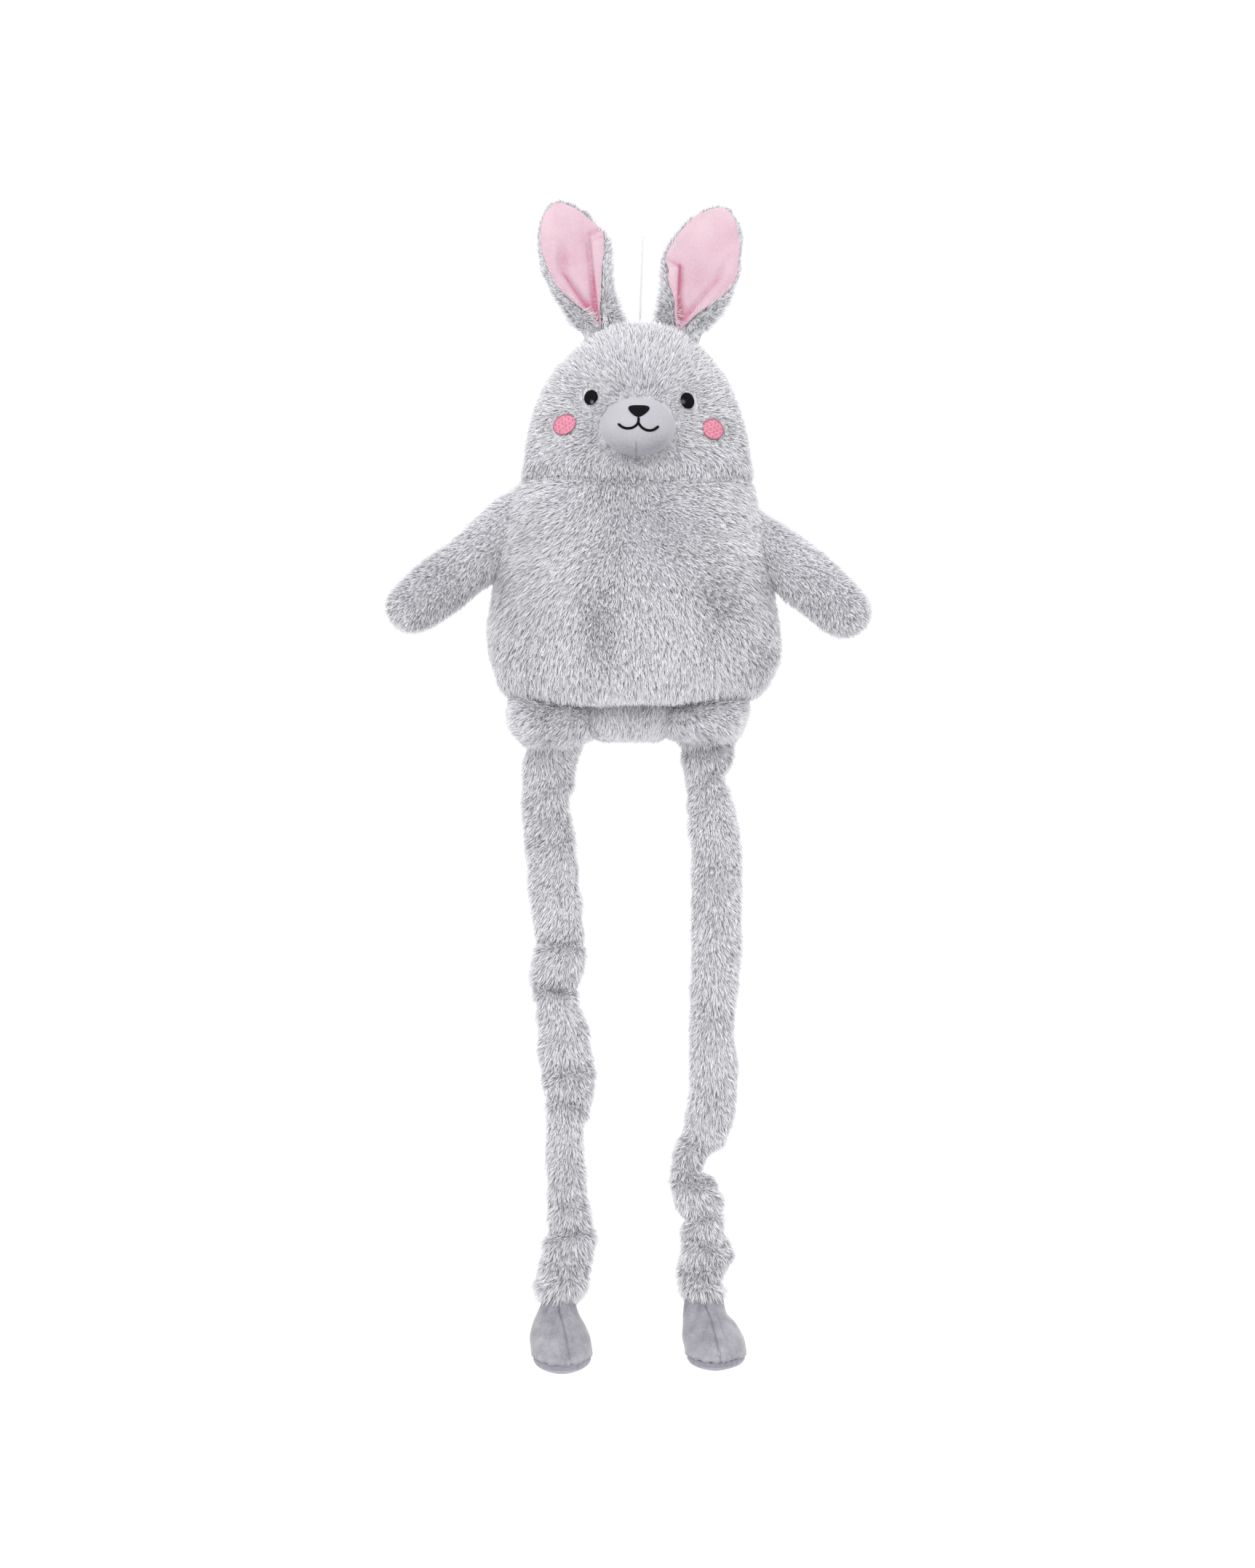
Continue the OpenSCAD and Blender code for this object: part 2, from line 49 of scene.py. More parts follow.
# ---------------------------------------------------------------- numbers
def pchip(x, y, xi):
    x = np.asarray(x, float); y = np.asarray(y, float)
    if y.ndim == 1:
        return pchip(x, y[:, None], xi)[:, 0]
    h = np.diff(x); d = np.diff(y, axis=0) / h[:, None]
    m = np.zeros_like(y)
    m[0] = d[0]; m[-1] = d[-1]
    for k in range(1, len(x) - 1):
        w1 = 2 * h[k] + h[k - 1]; w2 = h[k] + 2 * h[k - 1]
        same = d[k - 1] * d[k] > 0
        safe = np.where(same, w1 / np.where(same, d[k - 1], 1) + w2 / np.where(same, d[k], 1), 1)
        m[k] = np.where(same, (w1 + w2) / safe, 0)
    i = np.clip(np.searchsorted(x, xi, side="right") - 1, 0, len(x) - 2)
    t = (xi - x[i]) / h[i]
    t = np.clip(t, 0, 1)[:, None]; hh = h[i][:, None]
    return ((2 * t**3 - 3 * t**2 + 1) * y[i] + (t**3 - 2 * t**2 + t) * hh * m[i]
            + (-2 * t**3 + 3 * t**2) * y[i + 1] + (t**3 - t**2) * hh * m[i + 1])


def smooth(e0, e1, v):
    t = np.clip((v - e0) / (e1 - e0), 0, 1)
    return t * t * (3 - 2 * t)


def bump(v, c, w):
    return np.exp(-(((v - c) / w) ** 2))


def hash3(i, seed):
    """Three repeatable numbers from 0 to 1 for integer cells i (n, 3)."""
    i = i.astype(np.int64)
    h = (i[:, 0] * 73856093) ^ (i[:, 1] * 19349663) ^ (i[:, 2] * 83492791) ^ (seed * 2654435761)
    out = []
    for k in range(3):
        h = (h ^ (h >> 13)) * 1274126177 & 0x7FFFFFFF
        h = (h ^ (h >> 16)) * 668265263 & 0x7FFFFFFF
        out.append((h & 0xFFFFF) / float(0xFFFFF))
    return np.stack(out, 1)


def noise(p, size, seed=0):
    """Smooth value noise from -1 to 1 at points p, with features of about size."""
    q = p / size
    i = np.floor(q).astype(np.int64); f = q - i
    f = f * f * (3 - 2 * f)
    v = np.zeros(len(p))
    for dx in (0, 1):
        for dy in (0, 1):
            for dz in (0, 1):
                w = (f[:, 0] if dx else 1 - f[:, 0]) * (f[:, 1] if dy else 1 - f[:, 1]) * (f[:, 2] if dz else 1 - f[:, 2])
                v += w * hash3(i + np.array([dx, dy, dz]), seed)[:, 0]
    return v * 2 - 1


def cells(p, size, seed):
    """Nearest jittered cell point, and that cell's three random numbers."""
    base = np.floor(p / size).astype(np.int64)
    best = np.full(len(p), 1e9); pt = np.zeros_like(p); rnd = np.zeros_like(p)
    for dx in (-1, 0, 1):
        for dy in (-1, 0, 1):
            for dz in (-1, 0, 1):
                c = base + np.array([dx, dy, dz])
                j = (c + hash3(c, seed)) * size
                d = ((j - p) ** 2).sum(1)
                k = d < best
                best[k] = d[k]; pt[k] = j[k]
                rnd[k] = hash3(c[k], seed + 77)
    return pt, rnd


# ---------------------------------------------------------------- surfaces
def spread(st, n):
    """Stations [z, cx, a, b, cy] resampled along the profile."""
    st = np.array([list(s) + [0] * (5 - len(s)) for s in st], float)
    d = np.sqrt(np.diff(st[:, 0]) ** 2 + np.diff(st[:, 2]) ** 2 + 0.5 * np.diff(st[:, 1]) ** 2)
    t = np.concatenate([[0], np.cumsum(d)])
    return pchip(t, st, np.linspace(0, t[-1], n))


def inset(st, t):
    """Stations moved t inwards along the profile's normal."""
    st = np.array([list(s) + [0] * (5 - len(s)) for s in st], float)
    out = st.copy()
    for k in range(len(st)):
        p, q = st[max(0, k - 1)], st[min(len(st) - 1, k + 1)]
        da, dz = q[2] - p[2], q[0] - p[0]
        l = max(1e-6, math.hypot(da, dz))
        nx, nz = -dz / l, da / l
        out[k, 0] -= t * nz; out[k, 2] = max(1.5, st[k, 2] - t * nx); out[k, 3] = max(1.2, st[k, 3] - t * nx)
    return out


def ring_grid(R, nu, e=2.0):
    """Rings as a grid (nv, nu, 3), in mm, anticlockwise from above, top to bottom."""
    th = np.arange(nu) / nu * TAU
    c, s = np.cos(th), np.sin(th)
    e = np.broadcast_to(e, (len(R),))[:, None]
    cx = np.sign(c) * np.abs(c)[None] ** (2 / e); sy = np.sign(s) * np.abs(s)[None] ** (2 / e)
    return np.stack([R[:, 1:2] + R[:, 2:3] * cx, R[:, 4:5] + R[:, 3:4] * sy, np.repeat(R[:, 0:1], nu, 1)], 2)


class Skin:
    """A grid surface closed round u, with a pole at each end."""

    def __init__(self, grid, closed=True):
        nv, nu, _ = grid.shape
        self.nv, self.nu = nv, nu
        self.v = grid.reshape(-1, 3) * MM
        a = np.arange(nv * nu).reshape(nv, nu)
        b = np.roll(a, -1, 1)
        self.quads = np.stack([a[:-1], a[1:], b[1:], b[:-1]], 2).reshape(-1, 4)
        self.row = np.repeat(np.arange(nv), nu)
        if closed:
            top, bottom = self.v[:nu].mean(0), self.v[-nu:].mean(0)
            self.v = np.concatenate([self.v, [top, bottom]])
            t, d = nv * nu, nv * nu + 1
            self.tris = np.concatenate([np.stack([np.full(nu, t), a[0], b[0]], 1), np.stack([np.full(nu, d), b[-1], a[-1]], 1)])
            self.row = np.concatenate([self.row, [0, nv - 1]])
        else:
            self.tris = np.zeros((0, 3), int)

    def normals(self):
        n = np.zeros_like(self.v)
        f = self.quads
        d = np.cross(self.v[f[:, 2]] - self.v[f[:, 0]], self.v[f[:, 3]] - self.v[f[:, 1]])
        for k in range(4):
            for c in range(3):
                n[:, c] += np.bincount(f[:, k], d[:, c], len(n))
        f = self.tris
        if len(f):
            d = np.cross(self.v[f[:, 1]] - self.v[f[:, 0]], self.v[f[:, 2]] - self.v[f[:, 0]])
            for k in range(3):
                for c in range(3):
                    n[:, c] += np.bincount(f[:, k], d[:, c], len(n))
        return n / np.maximum(np.linalg.norm(n, axis=1), 1e-12)[:, None]

    def push(self, amount):
        """Moves each vertex out along its normal by amount, in metres."""
        self.v = self.v + self.normals() * np.asarray(amount)[:, None]

    def roots(self, count, weight, rng):
        """Random points on the quads: positions, normals."""
        n = self.normals()
        q = self.quads
        tri = np.concatenate([q[:, [0, 1, 2]], q[:, [0, 2, 3]]])
        p = self.v[tri]
        area = 0.5 * np.linalg.norm(np.cross(p[:, 1] - p[:, 0], p[:, 2] - p[:, 0]), axis=1)
        w = area * weight[tri].mean(1)
        cum = np.cumsum(w); self.area = cum[-1]
        m = int(count * cum[-1])
        i = np.searchsorted(cum, rng.random(m) * cum[-1])
        i = np.minimum(i, len(tri) - 1)
        r1 = np.sqrt(rng.random(m)); r2 = rng.random(m)
        b = np.stack([1 - r1, r1 * (1 - r2), r1 * r2], 1)[:, :, None]
        P = (self.v[tri[i]] * b).sum(1); N = (n[tri[i]] * b).sum(1)
        return P, N / np.linalg.norm(N, axis=1)[:, None]


def mesh(name, v, quads=None, tris=None, mats=(), strands=None, smooth_faces=True):
    """A mesh object from arrays. strands is (points (n, k, 3), {attribute: (n, k)})."""
    quads = np.zeros((0, 4), int) if quads is None else np.asarray(quads)
    tris = np.zeros((0, 3), int) if tris is None else np.asarray(tris)
    nskin = len(v)
    allv = v
    if strands is not None:
        allv = np.concatenate([v, strands[0].reshape(-1, 3)])
    me = bpy.data.meshes.new(name)
    me.vertices.add(len(allv)); me.vertices.foreach_set("co", allv.astype(np.float32).ravel())
    loops = np.concatenate([quads.ravel(), tris.ravel()]).astype(np.int32)
    me.loops.add(len(loops)); me.loops.foreach_set("vertex_index", loops)
    starts = np.concatenate([np.arange(len(quads)) * 4, len(quads) * 4 + np.arange(len(tris)) * 3]).astype(np.int32)
    me.polygons.add(len(starts)); me.polygons.foreach_set("loop_start", starts)
    me.polygons.foreach_set("use_smooth", np.full(len(starts), smooth_faces))
    me.update(calc_edges=True)
    if strands is not None:
        S, attrs = strands
        n, k = S.shape[:2]
        a = nskin + np.arange(n * k).reshape(n, k)
        E = np.stack([a[:, :-1].ravel(), a[:, 1:].ravel()], 1)
        e0 = len(me.edges)
        me.edges.add(len(E))
        ev = np.empty((e0 + len(E)) * 2, np.int32)
        me.edges.foreach_get("vertices", ev); ev[e0 * 2:] = E.ravel()
        me.edges.foreach_set("vertices", ev)
        for key, val in attrs.items():
            at = me.attributes.new(key, "FLOAT", "POINT")
            full = np.zeros(len(allv), np.float32); full[nskin:] = val.ravel()
            at.data.foreach_set("value", full)
    me.update()
    ob = bpy.data.objects.new(name, me)
    sc.collection.objects.link(ob)
    for m in mats:
        me.materials.append(m)
    return ob


# ---------------------------------------------------------------- materials
def new_mat(name):
    m = bpy.data.materials.new(name)
    m.use_nodes = True
    nt = m.node_tree
    return m, nt, nt.nodes["Principled BSDF"]


def node(nt, kind, **sets):
    n = nt.nodes.new(kind)
    for k, v in sets.items():
        if k.startswith("i_"):
            n.inputs[k[2:].replace("_", " ")].default_value = v
        else:
            setattr(n, k, v)
    return n


def ramp(nt, src, stops):
    r = nt.nodes.new("ShaderNodeValToRGB")
    el = r.color_ramp.elements
    while len(el) < len(stops):
        el.new(0.5)
    for e, (p, c) in zip(el, stops):
        e.position = p; e.color = (*c, 1)
    nt.links.new(src, r.inputs["Fac"])
    return r.outputs["Color"]


def coords(nt, scale=(1, 1, 1)):
    tc = nt.nodes.new("ShaderNodeTexCoord")
    mp = nt.nodes.new("ShaderNodeMapping"); mp.inputs["Scale"].default_value = scale
    nt.links.new(tc.outputs["Object"], mp.inputs["Vector"])
    return mp.outputs["Vector"]


def noise_tex(nt, vec, scale, detail=4, rough=0.6):
    n = nt.nodes.new("ShaderNodeTexNoise")
    n.inputs["Scale"].default_value = scale; n.inputs["Detail"].default_value = detail; n.inputs["Roughness"].default_value = rough
    nt.links.new(vec, n.inputs["Vector"])
    return n.outputs["Fac"]


def add_bump(nt, bsdf, height, distance, strength=1.0, before=None):
    b = nt.nodes.new("ShaderNodeBump"); b.inputs["Distance"].default_value = distance; b.inputs["Strength"].default_value = strength
    nt.links.new(height, b.inputs["Height"])
    if before is not None:
        nt.links.new(before, b.inputs["Normal"])
    nt.links.new(b.outputs["Normal"], bsdf.inputs["Normal"])
    return b.outputs["Normal"]


def math_node(nt, op, a, b=None, clamp=False):
    n = nt.nodes.new("ShaderNodeMath"); n.operation = op; n.use_clamp = clamp
    for k, v in enumerate((a, b)):
        if v is None:
            continue
        if isinstance(v, (int, float)):
            n.inputs[k].default_value = v
        else:
            nt.links.new(v, n.inputs[k])
    return n.outputs[0]


def make_fur_hair():
    m, nt, bs = new_mat("fur_pile")
    at = nt.nodes.new("ShaderNodeAttribute"); at.attribute_name = "tone"
    col = ramp(nt, at.outputs["Fac"], [(0.0, (0.13, 0.13, 0.145)), (0.30, (0.36, 0.36, 0.385)), (0.6, (0.78, 0.78, 0.81)), (1.0, (0.97, 0.97, 0.99))])
    nt.links.new(col, bs.inputs["Base Color"])
    bs.inputs["Roughness"].default_value = 0.7
    bs.inputs["Specular IOR Level"].default_value = 0.25
    return m


def make_fur_skin():
    """The pile's own surface: light tuft tips over dark gaps, drawn out downwards; the dark gaps are partly the pile's
    darker roots and partly painted shade between the tufts.
    """
    m, nt, bs = new_mat("fur_skin")
    v = coords(nt, (1, 1, 0.45))
    n1 = noise_tex(nt, v, 420, 3, 0.65)
    n2 = noise_tex(nt, v, 160, 3, 0.6)
    n3 = noise_tex(nt, coords(nt), 14, 2, 0.5)
    mix = math_node(nt, "ADD", math_node(nt, "MULTIPLY", n1, 0.55), math_node(nt, "MULTIPLY", n2, 0.35))
    mix = math_node(nt, "ADD", mix, math_node(nt, "MULTIPLY", n3, 0.12))
    col = ramp(nt, mix, [(0.38, (0.22, 0.22, 0.24)), (0.47, (0.42, 0.42, 0.445)), (0.56, (0.60, 0.60, 0.63)), (0.68, (0.72, 0.72, 0.75))])
    nt.links.new(col, bs.inputs["Base Color"])
    bs.inputs["Roughness"].default_value = 0.9
    bs.inputs["Sheen Weight"].default_value = 0.25
    bs.inputs["Sheen Roughness"].default_value = 0.5
    bs.inputs["Specular IOR Level"].default_value = 0.2
    add_bump(nt, bs, mix, 0.004, 0.9)
    return m


def make_velour(name, light, dark, scale=1.0, sheen=0.5, patch=22, painted_shade_by=(0.52, 0.52, 0.56)):
    """Short pile: fine grain, brushed patches, soft sheen."""
    m, nt, bs = new_mat(name)
    v = coords(nt)
    fine = noise_tex(nt, v, 2600 * scale, 2, 0.7)
    mid = noise_tex(nt, v, 420 * scale, 3, 0.55)
    big = noise_tex(nt, v, patch, 2, 0.5)
    mix = math_node(nt, "ADD", math_node(nt, "MULTIPLY", fine, 0.25), math_node(nt, "MULTIPLY", mid, 0.3))
    mix = math_node(nt, "ADD", mix, math_node(nt, "MULTIPLY", big, 0.45))
    # painted shade and light from the mesh: the colour darkens where the attribute is positive and lightens where it is
    # negative
    cr = nt.nodes.new("ShaderNodeAttribute"); cr.attribute_name = "crease"
    mix = math_node(nt, "SUBTRACT", mix, math_node(nt, "MULTIPLY", cr.outputs["Fac"], 0.34))
    # the darkest stop is the painted shade colour, which the painted shade drives the colour towards
    painted_shade_colour = tuple(c * k for c, k in zip(dark, painted_shade_by))
    col = ramp(nt, mix, [(0.16, painted_shade_colour), (0.36, dark), (0.64, light)])
    nt.links.new(col, bs.inputs["Base Color"])
    bs.inputs["Roughness"].default_value = 0.85
    bs.inputs["Sheen Weight"].default_value = sheen
    bs.inputs["Sheen Roughness"].default_value = 0.35
    bs.inputs["Specular IOR Level"].default_value = 0.2
    h = math_node(nt, "ADD", math_node(nt, "MULTIPLY", fine, 0.6), math_node(nt, "MULTIPLY", mid, 0.4))
    add_bump(nt, bs, h, 0.0006, 0.5)
    return m


def make_satin(name, light, dark, rough=0.35, spec=0.3, rows=0.35, glint=None):
    m, nt, bs = new_mat(name)
    v = coords(nt)
    n1 = noise_tex(nt, v, 1800, 2, 0.6)
    n2 = noise_tex(nt, v, 260, 3, 0.6)
    mix = math_node(nt, "ADD", math_node(nt, "MULTIPLY", n1, 0.6), math_node(nt, "MULTIPLY", n2, 0.4))
    # painted shade and light from the mesh: darker in the grooves between thread rows, lighter at painted glints
    cr = nt.nodes.new("ShaderNodeAttribute"); cr.attribute_name = "crease"
    mix = math_node(nt, "SUBTRACT", mix, math_node(nt, "MULTIPLY", cr.outputs["Fac"], rows))
    # the darkest stop is the painted shade colour; glint is the painted highlight colour
    stops = [(0.06, tuple(c * 0.60 for c in dark)), (0.35, dark), (0.62, light)] + ([] if glint is None else [(0.95, glint)])
    nt.links.new(ramp(nt, mix, stops), bs.inputs["Base Color"])
    nt.links.new(ramp(nt, n1, [(0.3, (rough,) * 3), (0.7, (rough + 0.2,) * 3)]), bs.inputs["Roughness"])
    bs.inputs["Specular IOR Level"].default_value = spec
    bs.inputs["Sheen Weight"].default_value = 0.0
    add_bump(nt, bs, n1, 0.0003, 0.6)
    return m


def make_filling():
    m, nt, bs = new_mat("filling_fibre")
    v = coords(nt)
    n1 = noise_tex(nt, v, 90, 6, 0.7)
    nt.links.new(ramp(nt, n1, [(0.35, (0.70, 0.70, 0.70)), (0.6, (0.90, 0.90, 0.90))]), bs.inputs["Base Color"])
    bs.inputs["Roughness"].default_value = 0.95
    add_bump(nt, bs, n1, 0.004, 0.8)
    return m


def make_nylon():
    m, nt, bs = new_mat("nylon_thread")
    v = coords(nt)
    n1 = noise_tex(nt, v, 700, 2, 0.5)
    nt.links.new(ramp(nt, n1, [(0.3, (0.62, 0.62, 0.63)), (0.7, (0.72, 0.72, 0.73))]), bs.inputs["Base Color"])
    bs.inputs["Roughness"].default_value = 0.25
    bs.inputs["Transmission Weight"].default_value = 0.05
    add_bump(nt, bs, n1, 0.0001, 0.4)
    return m


M_HAIR = make_fur_hair()
M_SKIN = make_fur_skin()
M_LINING = make_velour("ear_lining_velour", (0.605, 0.455, 0.505), (0.53, 0.345, 0.415), 1.0, 0.35, 26, (0.90, 0.50, 0.60))
M_VELOUR = make_velour("muzzle_velour", (0.43, 0.425, 0.455), (0.36, 0.355, 0.385), 1.0, 0.45, 16, (0.58, 0.57, 0.60))
M_VELVET = make_velour("foot_velvet", (0.35, 0.345, 0.375), (0.20, 0.195, 0.225), 1.0, 0.6, 55, (0.55, 0.55, 0.62))
M_SOLE = make_velour("sole_velvet", (0.32, 0.31, 0.36), (0.215, 0.207, 0.25), 1.0, 0.5, 30)
M_SEAM = make_satin("seam_thread", (0.33, 0.33, 0.36), (0.22, 0.22, 0.25), 0.6)
M_BLACK = make_satin("black_satin", (0.006, 0.006, 0.007), (0.003, 0.003, 0.0035), 0.5, 0.05, 0.40, (0.13, 0.14, 0.165))
M_PINK = make_satin("pink_satin", (0.69, 0.29, 0.38), (0.55, 0.175, 0.255), 0.4, 0.2, 0.55)
M_FILL = make_filling()
M_NYLON = make_nylon()


# ---------------------------------------------------------------- pile
def pile_group():
    ng = bpy.data.node_groups.new("pile", "GeometryNodeTree")
    ng.interface.new_socket("Geometry", in_out="INPUT", socket_type="NodeSocketGeometry")
    ng.interface.new_socket("Geometry", in_out="OUTPUT", socket_type="NodeSocketGeometry")
    N, L = ng.nodes.new, ng.links.new
    gi, go = N("NodeGroupInput"), N("NodeGroupOutput")
    en = N("GeometryNodeInputMeshEdgeNeighbors")
    c1 = N("FunctionNodeCompare"); c1.data_type = "INT"; c1.operation = "EQUAL"; c1.inputs[3].default_value = 0
    L(en.outputs[0], c1.inputs[2])
    m2c = N("GeometryNodeMeshToCurve"); L(gi.outputs[0], m2c.inputs["Mesh"]); L(c1.outputs[0], m2c.inputs["Selection"])
    at = N("GeometryNodeInputNamedAttribute"); at.data_type = "FLOAT"; at.inputs["Name"].default_value = "wide"
    scr = N("GeometryNodeSetCurveRadius"); L(m2c.outputs[0], scr.inputs["Curve"]); L(at.outputs["Attribute"], scr.inputs["Radius"])
    vn = N("GeometryNodeInputMeshVertexNeighbors")
    c2 = N("FunctionNodeCompare"); c2.data_type = "INT"; c2.operation = "EQUAL"; c2.inputs[3].default_value = 0
    L(vn.outputs["Face Count"], c2.inputs[2])
    dg = N("GeometryNodeDeleteGeometry"); dg.domain = "POINT"; L(gi.outputs[0], dg.inputs["Geometry"]); L(c2.outputs[0], dg.inputs["Selection"])
    j = N("GeometryNodeJoinGeometry"); L(dg.outputs[0], j.inputs[0]); L(scr.outputs[0], j.inputs[0]); L(j.outputs[0], go.inputs[0])
    return ng


PILE = pile_group()


def show_pile(ob):
    """The loose edges of ob become hair beside it; ob itself keeps only its faces."""
    ob.modifiers.new("pile", "NODES").node_group = PILE
    hc = bpy.data.hair_curves.new(ob.name + "_hair")
    ho = bpy.data.objects.new(ob.name + "_hair", hc)
    sc.collection.objects.link(ho)
    g = bpy.data.node_groups.new(ob.name + "_take", "GeometryNodeTree")
    g.interface.new_socket("Geometry", in_out="INPUT", socket_type="NodeSocketGeometry")
    g.interface.new_socket("Geometry", in_out="OUTPUT", socket_type="NodeSocketGeometry")
    out = g.nodes.new("NodeGroupOutput")
    oi = g.nodes.new("GeometryNodeObjectInfo"); oi.transform_space = "RELATIVE"; oi.inputs["Object"].default_value = ob
    sp = g.nodes.new("GeometryNodeSeparateComponents")
    sm = g.nodes.new("GeometryNodeSetMaterial"); sm.inputs["Material"].default_value = M_HAIR
    g.links.new(oi.outputs["Geometry"], sp.inputs[0]); g.links.new(sp.outputs["Curve"], sm.inputs["Geometry"]); g.links.new(sm.outputs[0], out.inputs[0])
    ho.modifiers.new("take", "NODES").node_group = g
    hc.materials.append(M_HAIR)
    return ho


DENSITY = 640000


def grow(P, N, nap, L, lift, tone, rng, clump=0.0026, tight=0.75, K=5, width=0.00021, wild=0.26, vary=0.14):
    """Strands (n, K, 3) and their attributes. nap is where the pile lies, lift its angle off the cloth."""
    n = len(P)
    t = nap - N * (nap * N).sum(1)[:, None]
    t /= np.maximum(np.linalg.norm(t, axis=1), 1e-9)[:, None]
    side = np.cross(N, t)
    C, r = cells(P, clump, 5)
    C2, r2 = cells(P, clump * 3.1, 9)
    ang = rng.normal(0, wild * 0.5, n) + (r[:, 0] - 0.5) * 2 * wild + (r2[:, 0] - 0.5) * 0.7 * wild
    t = t * np.cos(ang)[:, None] + side * np.sin(ang)[:, None]
    d = C - P; d -= N * (d * N).sum(1)[:, None]
    d2 = C2 - P; d2 -= N * (d2 * N).sum(1)[:, None]
    L = L * (0.86 + 0.28 * r[:, 1]) * (0.93 + 0.14 * r2[:, 1]) * rng.uniform(0.88, 1.07, n)
    lift = lift + (r[:, 2] - 0.5) * 0.35 + (r2[:, 2] - 0.5) * 0.18 + rng.normal(0, 0.1, n)
    s = np.linspace(0, 1, K)[None, :, None]
    up = (np.sin(lift) * L)[:, None, None]; al = (np.cos(lift) * L)[:, None, None]
    X = P[:, None] + N[:, None] * up * (s * (1.18 - 0.25 * s)) + t[:, None] * al * (0.75 * s + 0.35 * s * s)
    X = X + d[:, None] * tight[:, None, None] * s**1.2 + d2[:, None] * 0.08 * s
    curl = rng.normal(0, 0.00045, (n, 1, 3)) * s**1.5
    X = X + curl
    sv = s[0, :, 0][None]
    tn = np.clip(tone + (r[:, 2] - 0.5) * vary + (r2[:, 1] - 0.5) * 0.5 * vary + rng.normal(0, 0.05, n), 0.05, 1)[:, None] * (0.30 + 0.70 * sv**0.9)
    w = width * (1 - 0.62 * sv**1.7) * rng.uniform(0.85, 1.15, (n, 1))
    return X, {"tone": tn, "wide": np.broadcast_to(w, (n, K)).copy()}


def furry(name, skin, field, seed, density=DENSITY, weight=None, mats=None, relief=0.0012, **kw):
    """A skin with tuft relief and its pile, as one piece."""
    rng = np.random.default_rng(seed)
    w = np.ones(len(skin.v)) if weight is None else weight
    P, N = skin.roots(density, w, rng)
    f = field(P, N)
    keep = rng.random(len(P)) < f.get("keep", 1.0)
    P, N = P[keep], N[keep]
    pick = lambda k: (f[k][keep] if isinstance(f[k], np.ndarray) else f[k])
    S = grow(P, N, pick("nap"), pick("len") * np.ones(len(P)), pick("lift") * np.ones(len(P)), pick("tone") * np.ones(len(P)), rng, vary=(pick("vary") if "vary" in f else 0.14) * np.ones(len(P)), tight=(pick("tight") if "tight" in f else 0.75) * np.ones(len(P)), **kw)
    # tufts in the skin itself
    c, r = cells(skin.v, 0.0052, 21)
    d = np.linalg.norm(skin.v - c, axis=1)
    skin.push(relief * (np.clip(1 - (d / 0.0036) ** 2, -0.6, 1) + (r[:, 0] - 0.5) * 0.8) * np.minimum(1, w))
    ob = mesh(name, skin.v, skin.quads, skin.tris, [M_SKIN, M_HAIR] if mats is None else mats, S)
    show_pile(ob)
    print("PILE", name, len(P), "strands,", len(skin.v), "skin points")
    return ob


def core(name, sk, depth, node, step=3, body=None, like=None):
    """The stuffing under a skin: the same surface drawn in by depth metres."""
    nv, nu = sk.nv, sk.nu
    v = (sk.v - sk.normals() * depth)[:nv * nu].reshape(nv, nu, 3)
    rows = np.unique(np.concatenate([np.arange(0, nv, step), [nv - 1]]))
    g = v[rows][:, ::step]
    c = Skin(g / MM)
    c.v = c.v + c.normals() * (noise(c.v, 0.012, 901)[:, None] * 0.0005)
    ob = mesh(name, c.v, c.quads, c.tris, [M_FILL])
    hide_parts(*([node] if isinstance(node, str) else node))
    if body is not None:
        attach(ob, body)
    if like is not None:
        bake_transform(ob)
    return ob


DOWN = np.array([0, 0, -1.0])
BASE = 4.5  # mm from the pile's outline in to the skin

# ---------------------------------------------------------------- head
HEAD = [[-87, -4, 6, 5], [-88.5, -5, 20, 15], [-93, -6, 34, 26], [-102, -6, 49, 37], [-115, -6, 65, 48], [-130, -6, 79, 57], [-145, -6, 90, 64],
        [-160, -6, 98, 69], [-180, -6, 106, 73], [-205, -6, 112, 76], [-228, -6, 115.5, 77.5], [-240, -6, 117.5, 78.2], [-247, -7, 118, 78], [-252, -7, 115, 75.5]]


def neck_z(x, y, gap=0.0):
    u = np.clip(np.abs(x + 6) / 118.0, 0, 1)
    b = 78 * np.sqrt(1 - u * u)
    r = np.sqrt(900 + b * b) + gap
    return -219 - np.sqrt(np.maximum(4, r * r - y * y))


def seen(x, z, y):
    """Where a point drawn at x, z in the middle plane sits when it lies y in front of it."""
    k = 1 + y / 6647.0
    return -15.9 + (x + 15.9) / k, -558 + (z + 558) / k


EYES = [(*seen(-53.2, -164.2, 70), 6.8, 7.8, -20), (*seen(45.2, -167.4, 70), 6.8, 8.4, 16)]
CHEEKS = [(*seen(-80, -192, 60), 12.3, 9.8, 28), (*seen(71.3, -196.4, 62), 11.2, 10.2, -36)]
HEAD_IN = inset(HEAD, BASE)


def head_profile():
    R = spread(HEAD_IN, 96)
    return R


HR = head_profile()


def face_y(x, z, lift=0.0):
    """Skin of the face at x, z in mm, as y."""
    o = np.argsort(HR[:, 0])
    a = np.interp(z, HR[o, 0], HR[o, 2]); b = np.interp(z, HR[o, 0], HR[o, 3])
    u = np.clip(np.abs(x + 6) / a, 0, 0.98)
    return -b * np.sqrt(1 - u * u) - lift


